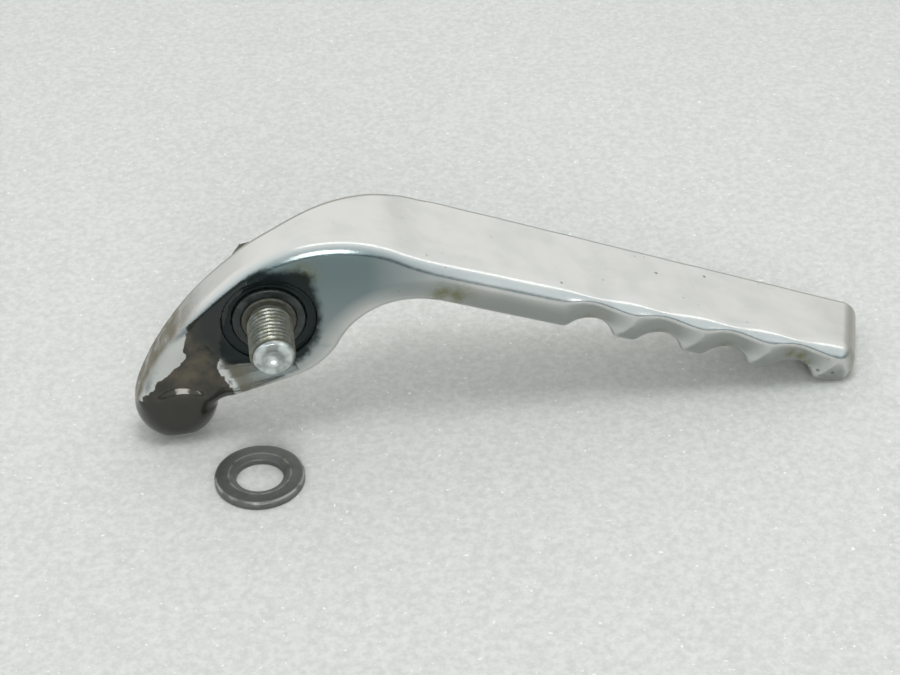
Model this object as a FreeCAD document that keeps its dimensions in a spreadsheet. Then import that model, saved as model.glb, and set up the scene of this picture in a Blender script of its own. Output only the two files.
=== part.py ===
import FreeCAD, Part
import math
import os
import Sketcher

# Folding lift handle: a cast bar with finger grooves that swings on a shoulder bolt.
# X runs along the bar, Y runs from the front face to the back, Z is up.
# The origin lies on the pivot axis, in the plane of the handle's front face.

# Driving sizes, in millimetres and degrees
SIZES = {
    # hub and tail, seen from the front
    "hub_radius": 17.4,
    "hub_thickness": 13.0,
    "tail_reach": 21.8,
    "tail_drop": 23.4,
    "tail_radius": 9.4,
    "web_angle": 16.0,
    "notch_radius": 3.0,
    # crown, the curve over the hub
    "crown_back": 5.9,
    "crown_height": 12.2,
    "crown_radius": 33.0,
    # bar
    "bar_root_x": 32.4,
    "bar_root_z": 12.6,
    "bar_reach": 134.8,
    "bar_depth": 10.45,
    "tip_height": 9.2,
    "tip_land": 4.8,
    "tip_skew": 8.0,
    "tip_radius": 2.4,
    "land_radius": 6.0,
    "root_radius": 60.0,
    "underarm_radius": 18.0,
    # finger grooves
    "groove_count": 4,
    "groove_first": 10.7,
    "groove_pitch": 17.1,
    "groove_radius": 6.2,
    "groove_depth": 3.7,
    "rim_radius": 2.6,
    # width from front to back
    "waist_x": 1.5,
    "waist_radius": 14.0,
    "grip_x": 33.0,
    "grip_width": 29.2,
    "tip_width": 23.6,
    "front_radius": 2.0,
    "back_bevel": 1.8,
    # machined faces of the hub
    "recess_radius": 10.4,
    "recess_depth": 1.0,
    "stop_x": 11.0,
    "stop_z": 11.5,
    "stop_length": 13.0,
    "stop_lean": 22.0,
    "stop_width": 9.0,
    "seat_radius": 12.0,
    # pivot
    "bush_radius": 8.0,
    "bush_proud": 0.5,
    "shoulder_radius": 6.0,
    "shoulder_proud": 0.5,
    "running_gap": 0.05,
    "end_gap": 0.2,
    "thread_radius": 5.0,
    "thread_length": 13.5,
    "thread_chamfer": 1.0,
    "flange_radius": 10.0,
    "flange_thickness": 1.8,
    "head_across": 17.0,
    "head_height": 6.4,
    "head_bevel": 1.0,
    # loose washer
    "washer_radius": 10.0,
    "washer_hole": 5.25,
    "washer_thickness": 2.0,
    "washer_edge": 0.4,
    "washer_bevel": 0.5,
    "washer_left": 4.8,
    "washer_forward": 13.9,
}

HEX_SIDES = 6
FULL_TURN = 360.0
# How far cutting outlines reach past the solid
CUT_MARGIN = 30.0
# Two places nearer than this are the same
SAME_PLACE = 0.01
# No edge that is picked out is shorter than this
LEAST_EDGE = 1.0

doc = FreeCAD.newDocument("lift_handle")
sheet = doc.addObject("Spreadsheet::Sheet", "Dims")
for row, (alias, value) in enumerate(SIZES.items(), start=1):
    sheet.set(f"A{row}", alias)
    sheet.set(f"B{row}", str(value))
    sheet.setAlias(f"B{row}", alias)
doc.recompute()


def size(alias):
    """Return a driving size as the sheet holds it."""
    return float(sheet.get(alias))


def sine(alias):
    return math.sin(math.radians(size(alias)))


def cosine(alias):
    return math.cos(math.radians(size(alias)))


# Height of the surface that the tail and the tip rest on
rest_z = -(size("tail_drop") + size("tail_radius"))
REST = "(-Dims.tail_drop - Dims.tail_radius)"

# Slope of the bar's underside, from the tip's flat land up to the bar's depth at its root
bar_rise = size("bar_root_z") - size("bar_depth") - rest_z
bar_run = size("bar_reach") - size("tip_land") - size("bar_root_x")
bar_slope = math.atan2(bar_rise, bar_run)
SLOPE = (f"atan((Dims.bar_root_z - Dims.bar_depth - {REST}) / "
         "(Dims.bar_reach - Dims.tip_land - Dims.bar_root_x))")


def new_body(label):
    body = doc.addObject("PartDesign::Body", label)
    body.Label = label
    return body


def origin_plane(body, role):
    planes = [plane for plane in body.Origin.OriginFeatures if plane.Role == role]
    return planes[0]


def new_sketch(body, name, role):
    sketch = body.newObject("Sketcher::SketchObject", name)
    sketch.AttachmentSupport = [(origin_plane(body, role), "")]
    sketch.MapMode = "FlatFace"
    return sketch


def set_back(sketch, expression):
    """Move a front-view sketch back from the front face."""
    sketch.setExpression("AttachmentOffset.Base.z", f"-({expression})")


def bind(sketch, index, name, expression):
    """Name a constraint and tie it to the sheet."""
    sketch.renameConstraint(index, name)
    sketch.setExpression(f"Constraints.{name}", expression)


def place(sketch, geo, end, name, across, up):
    """Fix a point by its two distances from the sketch's origin, each a value and its expression."""
    index = sketch.addConstraint(Sketcher.Constraint("DistanceX", -1, 1, geo, end, across[0]))
    bind(sketch, index, f"{name}_across", across[1])
    index = sketch.addConstraint(Sketcher.Constraint("DistanceY", -1, 1, geo, end, up[0]))
    bind(sketch, index, f"{name}_up", up[1])


def vector(point):
    return FreeCAD.Vector(point[0][0], point[1][0], 0)


def circle(sketch, name, centre, radius):
    """Draw a circle; centre is two pairs and radius one pair of value and expression."""
    geo = sketch.addGeometry(Part.Circle(vector(centre), FreeCAD.Vector(0, 0, 1), radius[0]), False)
    index = sketch.addConstraint(Sketcher.Constraint("Radius", geo, radius[0]))
    bind(sketch, index, f"{name}_radius", radius[1])
    place(sketch, geo, 3, f"{name}_centre", centre[0], centre[1])


def polygon(sketch, corners):
    """Draw a closed outline of straight lines through named corners."""
    names = list(corners)
    lines = []
    for name, following in zip(names, names[1:] + names[:1]):
        ends = Part.LineSegment(vector(corners[name]), vector(corners[following]))
        lines.append(sketch.addGeometry(ends, False))
    for line, following in zip(lines, lines[1:] + lines[:1]):
        sketch.addConstraint(Sketcher.Constraint("Coincident", line, 2, following, 1))
    for name, line in zip(names, lines):
        place(sketch, line, 1, name, corners[name][0], corners[name][1])


def tied(alias, sign=1):
    """Pair a size with its expression, with a sign."""
    prefix = "-" if sign < 0 else ""
    return (sign * size(alias), f"{prefix}Dims.{alias}")


ORIGIN = ((0.0, "0"), (0.0, "0"))


def pad(body, name, sketch, expression):
    """Raise a front-view outline from the front face towards the back."""
    feature = body.newObject("PartDesign::Pad", name)
    feature.Profile = sketch
    feature.setExpression("Length", expression)
    feature.Reversed = True
    doc.recompute()


def pocket(body, name, sketch, expression=None):
    """Cut an outline to a depth behind its plane, or right through on both sides."""
    before = body.Shape.Volume
    feature = body.newObject("PartDesign::Pocket", name)
    feature.Profile = sketch
    if expression is None:
        feature.Type = "ThroughAll"
        feature.SideType = "Symmetric"
    else:
        feature.setExpression("Length", expression)
    doc.recompute()
    if not body.Shape.Volume < before:
        raise RuntimeError(f"{name} cuts nothing")


def fillet(body, name, edges, alias):
    """Round edges of the body's last feature."""
    base = body.Tip
    feature = body.newObject("PartDesign::Fillet", name)
    feature.Base = (base, edges)
    feature.setExpression("Radius", f"Dims.{alias}")
    doc.recompute()


def bevel(body, name, edges, alias):
    """Bevel edges of the body's last feature."""
    base = body.Tip
    feature = body.newObject("PartDesign::Chamfer", name)
    feature.Base = (base, edges)
    feature.setExpression("Size", f"Dims.{alias}")
    doc.recompute()


def edge_names(shape, wanted):
    return [f"Edge{number}" for number, edge in enumerate(shape.Edges, start=1) if wanted(edge)]


def middle(edge):
    return edge.valueAt((edge.FirstParameter + edge.LastParameter) / 2)


def along_depth(edge):
    """Tell whether an edge runs straight from front to back."""
    start = edge.Vertexes[0].Point
    end = edge.Vertexes[-1].Point
    astray = abs(start.x - end.x) + abs(start.z - end.z)
    return start.distanceToPoint(end) > LEAST_EDGE and astray < SAME_PLACE


def nearest_depth_edges(shape, places):
    """Return the front-to-back edges that pass nearest to places in the front view."""
    names = []
    for x, z in places:
        found = [(math.hypot(middle(edge).x - x, middle(edge).z - z), number)
                 for number, edge in enumerate(shape.Edges, start=1) if along_depth(edge)]
        names.append(f"Edge{min(found)[1]}")
    return sorted(set(names))


def underside(distance):
    """Return a place on the bar's underside, at a distance back from the tip's flat land."""
    x = size("bar_reach") - size("tip_land") - distance * math.cos(bar_slope)
    z = rest_z + distance * math.sin(bar_slope)
    return x, z


def first_meeting(start, direction, centre, radius):
    """Return where a straight way from start first meets a circle."""
    along = (centre - start).dot(direction)
    apart = math.sqrt((centre - start).Length ** 2 - along ** 2)
    return start + direction * (along - math.sqrt(radius ** 2 - apart ** 2))


def arc_centre(start, end, radius):
    """Return the centre of a counter-clockwise arc of less than half a turn."""
    chord = end - start
    left = FreeCAD.Vector(-chord.y, chord.x, 0).normalize()
    return (start + end) / 2 + left * math.sqrt(radius ** 2 - (chord.Length / 2) ** 2)


def arc(centre, start, end):
    """Return the counter-clockwise arc from start to end."""
    first, last = (math.atan2(point.y - centre.y, point.x - centre.x) for point in (start, end))
    if last < first:
        last += 2 * math.pi
    round_edge = Part.Circle(centre, FreeCAD.Vector(0, 0, 1), (start - centre).Length)
    return Part.ArcOfCircle(round_edge, first, last)


def bar_corners():
    """Return the corners of the front view that sizes give at once, each with its expressions."""
    far = (size("bar_reach") + size("tip_skew"), "(Dims.bar_reach + Dims.tip_skew)")
    land = (size("bar_reach") - size("tip_land"), "(Dims.bar_reach - Dims.tip_land)")
    rest = (rest_z, REST)
    drop = rest_z + size("tip_height") - size("bar_root_z")
    fall = drop / (size("bar_reach") - size("bar_root_x"))
    fall_text = f"({REST} + Dims.tip_height - Dims.bar_root_z) / (Dims.bar_reach - Dims.bar_root_x)"
    tip_z = size("bar_root_z") + fall * (far[0] - size("bar_root_x"))
    tip_text = f"Dims.bar_root_z + {fall_text} * ({far[1]} - Dims.bar_root_x)"
    return {
        "crown": (tied("crown_back", -1), tied("crown_height")),
        "bar_root": (tied("bar_root_x"), tied("bar_root_z")),
        "tip_top": (far, (tip_z, tip_text)),
        "tip_foot": (far, rest),
        "land": (land, rest),
    }


def outline_pieces(corners):
    """Return the front view's lines and arcs, counter-clockwise, each ending where the next starts."""
    crown, root, tip_top, tip_foot, land = (vector(pair) for pair in corners.values())
    hub = FreeCAD.Vector(0, 0, 0)
    tail = FreeCAD.Vector(-size("tail_reach"), -size("tail_drop"), 0)
    web_way = FreeCAD.Vector(cosine("web_angle"), sine("web_angle"), 0)
    hub_foot = FreeCAD.Vector(web_way.y, -web_way.x, 0) * size("hub_radius")
    notch = first_meeting(hub_foot, -web_way, tail, size("tail_radius"))
    rise = FreeCAD.Vector(-math.cos(bar_slope), math.sin(bar_slope), 0)
    armpit = first_meeting(land, rise, hub, size("hub_radius"))
    crown_centre = arc_centre(root, crown, size("crown_radius"))
    # The curve down the back leaves the crown and joins the tail's round without a kink
    inward = (crown_centre - crown).normalize()
    lift = crown - tail
    power = (size("tail_radius") ** 2 - lift.Length ** 2) / 2
    back_radius = power / (lift.dot(inward) + size("tail_radius"))
    back_centre = crown + inward * back_radius
    tail_back = back_centre + (tail - back_centre).normalize() * back_radius
    return {
        "crown_arc": arc(crown_centre, root, crown),
        "back_arc": arc(back_centre, crown, tail_back),
        "tail_arc": arc(tail, tail_back, notch),
        "web": Part.LineSegment(notch, hub_foot),
        "hub_arc": arc(hub, hub_foot, armpit),
        "underside": Part.LineSegment(armpit, land),
        "land": Part.LineSegment(land, tip_foot),
        "end": Part.LineSegment(tip_foot, tip_top),
        "top": Part.LineSegment(tip_top, root),
    }


def draw_outline(body):
    """Draw the handle's front view and return it with the corners that are rounded afterwards."""
    sketch = new_sketch(body, "outline", "XZ_Plane")
    corners = bar_corners()
    geo = {name: sketch.addGeometry(curve, False) for name, curve in outline_pieces(corners).items()}
    names = list(geo)
    smooth = ("crown_arc", "back_arc", "web")
    for name, following in zip(names, names[1:] + names[:1]):
        kind = "Tangent" if name in smooth else "Coincident"
        sketch.addConstraint(Sketcher.Constraint(kind, geo[name], 2, geo[following], 1))
    ends = {"crown": ("crown_arc", 2), "bar_root": ("crown_arc", 1), "tip_top": ("top", 1),
            "tip_foot": ("end", 1), "land": ("land", 1)}
    for name, (curve, end) in ends.items():
        place(sketch, geo[curve], end, name, corners[name][0], corners[name][1])
    place(sketch, geo["hub_arc"], 3, "hub", ORIGIN[0], ORIGIN[1])
    place(sketch, geo["tail_arc"], 3, "tail", tied("tail_reach", -1), tied("tail_drop", -1))
    for part in ("crown", "tail", "hub"):
        alias = f"{part}_radius"
        index = sketch.addConstraint(Sketcher.Constraint("Radius", geo[f"{part}_arc"], size(alias)))
        bind(sketch, index, alias, f"Dims.{alias}")
    web_angle = math.radians(size("web_angle"))
    index = sketch.addConstraint(Sketcher.Constraint("Angle", geo["web"], web_angle))
    bind(sketch, index, "web_angle", "Dims.web_angle * 1 deg")
    index = sketch.addConstraint(Sketcher.Constraint("Angle", geo["underside"], -bar_slope))
    bind(sketch, index, "bar_slope", f"-{SLOPE}")
    doc.recompute()
    rounded = {"underarm": ("hub_arc", 2), "notch": ("tail_arc", 2), "land": ("land", 1),
               "root": ("crown_arc", 1)}
    places = {name: sketch.getPoint(geo[curve], end) for name, (curve, end) in rounded.items()}
    return sketch, {name: (point.x, point.y) for name, point in places.items()}


def draw_plan(body):
    """Draw, seen from above, what lies behind the handle's back and beyond its skewed end."""
    sketch = new_sketch(body, "plan_cut", "XY_Plane")
    left_x = -(size("tail_reach") + size("tail_radius") + CUT_MARGIN)
    left = (left_x, f"-Dims.tail_reach - Dims.tail_radius - {CUT_MARGIN}")
    right = (size("bar_reach") + size("tip_skew") + CUT_MARGIN,
             f"Dims.bar_reach + Dims.tip_skew + {CUT_MARGIN}")
    behind = (size("grip_width") + 2 * CUT_MARGIN, f"Dims.grip_width + {2 * CUT_MARGIN}")
    end_x = size("bar_reach") + size("tip_skew")
    lead_x = size("bar_reach") - size("tip_skew") * CUT_MARGIN / size("tip_width")
    lead_text = f"Dims.bar_reach - Dims.tip_skew * {CUT_MARGIN} / Dims.tip_width"
    front = (-CUT_MARGIN, f"-{CUT_MARGIN}")
    polygon(sketch, {
        "hub_back": (left, tied("hub_thickness")),
        "waist": (tied("waist_x"), tied("hub_thickness")),
        "grip": (tied("grip_x"), tied("grip_width")),
        "tip_back": ((end_x, "Dims.bar_reach + Dims.tip_skew"), tied("tip_width")),
        "tip_front": ((lead_x, lead_text), front),
        "far_front": (right, front),
        "far_back": (right, behind),
        "far_left": (left, behind),
    })
    return sketch


def draw_grooves(body):
    """Draw one circle for each finger, in a row along the bar's underside."""
    sketch = new_sketch(body, "groove_outline", "XZ_Plane")
    outset = size("groove_radius") - size("groove_depth")
    for number in range(int(size("groove_count"))):
        x, z = underside(size("groove_first") + number * size("groove_pitch"))
        distance = f"(Dims.groove_first + {number} * Dims.groove_pitch)"
        offset = "(Dims.groove_radius - Dims.groove_depth)"
        across = f"Dims.bar_reach - Dims.tip_land - {distance} * cos({SLOPE})"
        up = f"{REST} + {distance} * sin({SLOPE})"
        centre = (
            (x - outset * math.sin(bar_slope), f"{across} - {offset} * sin({SLOPE})"),
            (z - outset * math.cos(bar_slope), f"{up} - {offset} * cos({SLOPE})"),
        )
        circle(sketch, f"finger{number}", centre, tied("groove_radius"))
    return sketch


def groove_rims():
    """Return the places where the grooves break the bar's underside."""
    outset = size("groove_radius") - size("groove_depth")
    half = math.sqrt(size("groove_radius") ** 2 - outset ** 2)
    places = []
    for number in range(int(size("groove_count"))):
        middle_distance = size("groove_first") + number * size("groove_pitch")
        places.append(underside(middle_distance - half))
        places.append(underside(middle_distance + half))
    return places


def along_height(edge):
    """Tell whether an edge runs straight up."""
    start = edge.Vertexes[0].Point
    end = edge.Vertexes[-1].Point
    astray = abs(start.x - end.x) + abs(start.y - end.y)
    return abs(start.z - end.z) > LEAST_EDGE and astray < SAME_PLACE


def on_end(edge):
    """Tell whether an edge lies across the bar's skewed end."""
    skew = size("tip_skew") / size("tip_width")
    points = [vertex.Point for vertex in edge.Vertexes]
    lies = all(abs(point.x - size("bar_reach") - skew * point.y) < SAME_PLACE for point in points)
    return lies and not along_height(edge)


def on_front(edge):
    points = [vertex.Point for vertex in edge.Vertexes]
    return all(abs(point.y) < SAME_PLACE for point in [*points, middle(edge)])


def on_back(edge):
    """Tell whether an edge belongs to the outline of the handle's back."""
    behind = all(vertex.Point.y > size("hub_thickness") - SAME_PLACE for vertex in edge.Vertexes)
    return behind and (not along_height(edge) or middle(edge).x > size("bar_reach"))


def make_handle():
    """Cast handle: hub, tail and grooved bar with a flat front, thin at the hub and wide at the grip."""
    body = new_body("handle")
    sketch, corners = draw_outline(body)
    pad(body, "cast_pad", sketch, f"Dims.grip_width + {CUT_MARGIN}")
    for name, corner in corners.items():
        fillet(body, f"{name}_round", nearest_depth_edges(body.Shape, [corner]), f"{name}_radius")
    pocket(body, "grooves", draw_grooves(body))
    fillet(body, "rim_round", nearest_depth_edges(body.Shape, groove_rims()), "rim_radius")
    pocket(body, "plan", draw_plan(body))
    fillet(body, "waist_round", edge_names(body.Shape, is_waist), "waist_radius")
    fillet(body, "end_round", edge_names(body.Shape, on_end), "tip_radius")
    fillet(body, "front_round", edge_names(body.Shape, on_front), "front_radius")
    bevel(body, "back_bevel", edge_names(body.Shape, on_back), "back_bevel")
    machine_hub(body)
    return body


def is_waist(edge):
    """Tell whether an edge is one of the two bends of the back between hub and grip."""
    place_x = middle(edge).x
    bends = (size("waist_x"), size("grip_x"))
    return along_height(edge) and min(abs(place_x - bend) for bend in bends) < SAME_PLACE


def machine_hub(body):
    """Face the front of the hub up to its stop, seat the bolt's head and bore the hub."""
    sketch = new_sketch(body, "recess_outline", "XZ_Plane")
    circle(sketch, "recess", ORIGIN, tied("recess_radius"))
    pocket(body, "recess", sketch, "Dims.recess_depth")
    pocket(body, "stop_cut", draw_stop(body), "Dims.recess_depth")
    sketch = new_sketch(body, "seat_outline", "XZ_Plane")
    set_back(sketch, "Dims.hub_thickness")
    circle(sketch, "seat", ORIGIN, tied("seat_radius"))
    pocket(body, "seat", sketch, f"Dims.grip_width + {CUT_MARGIN}")
    sketch = new_sketch(body, "bore_outline", "XZ_Plane")
    circle(sketch, "bore", ORIGIN, tied("bush_radius"))
    pocket(body, "bore", sketch)


def draw_stop(body):
    """Draw the faced patch between the recess and the straight stop edge of the tail."""
    sketch = new_sketch(body, "stop_outline", "XZ_Plane")
    down = (size("stop_length") * sine("stop_lean"), "Dims.stop_length * sin(Dims.stop_lean)")
    fall = (size("stop_length") * cosine("stop_lean"), "Dims.stop_length * cos(Dims.stop_lean)")
    left = tied("stop_x", -1)
    top = tied("stop_z", -1)
    width = tied("stop_width")
    foot = (left[0] + down[0], f"{left[1]} + {down[1]}")
    low = (top[0] - fall[0], f"{top[1]} - {fall[1]}")
    polygon(sketch, {
        "stop_top": (left, top),
        "stop_foot": (foot, low),
        "patch_foot": ((foot[0] + width[0], f"{foot[1]} + {width[1]}"), low),
        "patch_top": ((left[0] + width[0], f"{left[1]} + {width[1]}"), top),
    })
    return sketch


def revolve(body, name, sketch):
    """Turn a half section about the sketch's upright axis."""
    feature = body.newObject("PartDesign::Revolution", name)
    feature.Profile = sketch
    feature.ReferenceAxis = (sketch, ["V_Axis"])
    feature.Angle = FULL_TURN
    doc.recompute()


def make_bush():
    """Steel sleeve pressed into the hub; its front rim stands a little out of the faced recess."""
    body = new_body("pivot_bush")
    sketch = new_sketch(body, "bush_section", "XY_Plane")
    inner = (size("shoulder_radius") + size("running_gap"), "Dims.shoulder_radius + Dims.running_gap")
    outer = tied("bush_radius")
    front = (size("recess_depth") - size("bush_proud"), "Dims.recess_depth - Dims.bush_proud")
    back = tied("hub_thickness")
    polygon(sketch, {
        "front_in": (inner, front),
        "front_out": (outer, front),
        "back_out": (outer, back),
        "back_in": (inner, back),
    })
    revolve(body, "bush", sketch)
    return body


def make_bolt():
    """Shoulder bolt: flanged head behind the hub, running shoulder in the bush, threaded end in front."""
    body = new_body("pivot_bolt")
    sketch = new_sketch(body, "bolt_section", "XY_Plane")
    axis = (0.0, "0")
    shoulder = tied("shoulder_radius")
    thread = tied("thread_radius")
    point = (size("thread_radius") - size("thread_chamfer"), "Dims.thread_radius - Dims.thread_chamfer")
    head_text = "Dims.hub_thickness + Dims.end_gap"
    head = (size("hub_thickness") + size("end_gap"), head_text)
    step_text = "Dims.recess_depth - Dims.bush_proud - Dims.shoulder_proud"
    step = (size("recess_depth") - size("bush_proud") - size("shoulder_proud"), step_text)
    end = (step[0] - size("thread_length"), f"{step_text} - Dims.thread_length")
    bevel_end = (end[0] + size("thread_chamfer"), f"{end[1]} + Dims.thread_chamfer")
    flange = tied("flange_radius")
    flange_top = (head[0] + size("flange_thickness"), f"{head_text} + Dims.flange_thickness")
    polygon(sketch, {
        "flange_axis": (axis, flange_top),
        "flange_top": (flange, flange_top),
        "flange_low": (flange, head),
        "head_edge": (shoulder, head),
        "shoulder_end": (shoulder, step),
        "thread_start": (thread, step),
        "thread_end": (thread, bevel_end),
        "point_edge": (point, end),
        "point_axis": (axis, end),
    })
    revolve(body, "shank", sketch)

    sketch = new_sketch(body, "head_outline", "XZ_Plane")
    set_back(sketch, head_text)
    corner = size("head_across") / 2 / math.cos(math.pi / HEX_SIDES)
    corner_text = f"Dims.head_across / 2 / cos({FULL_TURN / HEX_SIDES / 2})"
    corners = {}
    for number in range(HEX_SIDES):
        angle = FULL_TURN / HEX_SIDES * number
        across = (corner * math.cos(math.radians(angle)), f"{corner_text} * cos({angle})")
        up = (corner * math.sin(math.radians(angle)), f"{corner_text} * sin({angle})")
        corners[f"corner{number}"] = (across, up)
    polygon(sketch, corners)
    pad(body, "head", sketch, "Dims.head_height")
    bevel_head(body, head)
    return body


def bevel_head(body, head):
    """Turn the head's corners off at its outer end."""
    sketch = new_sketch(body, "bevel_section", "XY_Plane")
    top = (head[0] + size("head_height"), f"{head[1]} + Dims.head_height")
    flat = (size("head_across") / 2, "Dims.head_across / 2")
    rim = tied("head_across")
    spread = 1 / math.cos(math.pi / HEX_SIDES) - 1
    fall = (top[0] - size("head_bevel") / spread, f"{top[1]} - Dims.head_bevel / {spread}")
    polygon(sketch, {
        "flat_edge": (flat, top),
        "rim_top": (rim, top),
        "rim_low": (rim, fall),
    })
    before = body.Shape.Volume
    feature = body.newObject("PartDesign::Groove", "head_bevel")
    feature.Profile = sketch
    feature.ReferenceAxis = (sketch, ["V_Axis"])
    feature.Angle = FULL_TURN
    doc.recompute()
    if not body.Shape.Volume < before:
        raise RuntimeError("the head's bevel cuts nothing")


def make_washer():
    """Plain washer, off the bolt, lying on the surface that the handle rests on."""
    body = new_body("thrust_washer")
    sketch = new_sketch(body, "washer_section", "XZ_Plane")
    hole = tied("washer_hole")
    outer = tied("washer_radius")
    top = tied("washer_thickness")
    bevel_out = (hole[0] + size("washer_bevel"), f"{hole[1]} + Dims.washer_bevel")
    bevel_low = (top[0] - size("washer_bevel"), f"{top[1]} - Dims.washer_bevel")
    polygon(sketch, {
        "hole_low": (hole, (0.0, "0")),
        "rim_low": (outer, (0.0, "0")),
        "rim_top": (outer, top),
        "bevel_out": (bevel_out, top),
        "bevel_low": (hole, bevel_low),
    })
    revolve(body, "ring", sketch)
    rim = edge_names(body.Shape, is_washer_rim)
    bevel(body, "washer_rim", rim, "washer_edge")
    body.setExpression("Placement.Base.x", "-Dims.washer_left")
    body.setExpression("Placement.Base.y", "-Dims.washer_forward")
    body.setExpression("Placement.Base.z", REST)
    return body


def is_washer_rim(edge):
    """Tell whether an edge is one of the washer's two outer circles."""
    place_xy = edge.Vertexes[0].Point
    on_rim = abs(math.hypot(place_xy.x, place_xy.y) - size("washer_radius")) < SAME_PLACE
    return on_rim and len(edge.Vertexes) == 1


pieces = [make_handle(), make_bush(), make_bolt(), make_washer()]
doc.recompute()

for item in doc.Objects:
    if "Invalid" in item.State or "Error" in item.State:
        raise RuntimeError(f"{item.Label} failed: {item.State}")
for piece in pieces:
    if piece.Shape.isNull() or not piece.Shape.isValid():
        raise RuntimeError(f"{piece.Label} has no valid shape")

os.makedirs("parts", exist_ok=True)
for piece in pieces:
    piece.Shape.exportStep(f"parts/{piece.Label}.step")
    print(piece.Label, "volume", round(piece.Shape.Volume, 1))
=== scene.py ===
"""Folding lift handle: the polished casting, its greasy pivot and the washer that lies in front of it."""

import logging
import math
from dataclasses import dataclass, field
from enum import Enum
from typing import ClassVar, Optional, Union

import bpy
import numpy as np
from mathutils import Matrix, Vector

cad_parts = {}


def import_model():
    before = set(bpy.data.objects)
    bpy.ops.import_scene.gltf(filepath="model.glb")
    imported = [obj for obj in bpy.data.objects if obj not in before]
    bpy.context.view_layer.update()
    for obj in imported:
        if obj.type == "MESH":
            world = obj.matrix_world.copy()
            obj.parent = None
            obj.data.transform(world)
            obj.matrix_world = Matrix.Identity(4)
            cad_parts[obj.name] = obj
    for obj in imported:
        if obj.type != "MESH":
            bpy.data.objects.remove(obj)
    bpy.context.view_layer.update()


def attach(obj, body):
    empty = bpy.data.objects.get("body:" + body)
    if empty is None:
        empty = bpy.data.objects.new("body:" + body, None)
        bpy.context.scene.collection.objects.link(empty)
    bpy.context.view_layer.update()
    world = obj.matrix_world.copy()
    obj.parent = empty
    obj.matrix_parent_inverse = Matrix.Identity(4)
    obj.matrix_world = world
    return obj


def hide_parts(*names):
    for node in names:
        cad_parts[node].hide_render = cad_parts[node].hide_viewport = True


log = logging.getLogger("lift_handle")

MM = 0.001
FLOOR_Z = -32.8
SHARP_ANGLE = math.radians(38.0)

Array = np.ndarray
Numbers = tuple[float, ...]
Colour = tuple[float, float, float, float]
Value = Union[float, Numbers, bpy.types.NodeSocket]


class Body(Enum):
    """Moving bodies of the frame."""

    LEVER = "lever"
    PIVOT = "pivot"


class Slot(Enum):
    """Material slots of the record."""

    CASTING = "cast_aluminium"
    BUSH = "bush_steel"
    ZINC = "zinc_steel"
    BLACK = "black_steel"


class Zone(Enum):
    """Stretches of the casting's outline: front round, back round and front bevel's width in millimetres."""

    CROWN = (3.4, 3.6, 0.0)
    BACK = (3.6, 4.0, 0.0)
    TAIL = (6.0, 5.0, 0.0)
    WEB = (2.0, 3.2, 2.4)
    HUB = (2.0, 2.5, 3.0)
    UNDERSIDE = (1.7, 3.0, 4.3)
    GROOVE = (1.6, 3.1, 4.3)
    LAND = (2.4, 3.5, 4.0)
    TOP = (3.8, 2.6, 0.0)


# Node graphs


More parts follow.
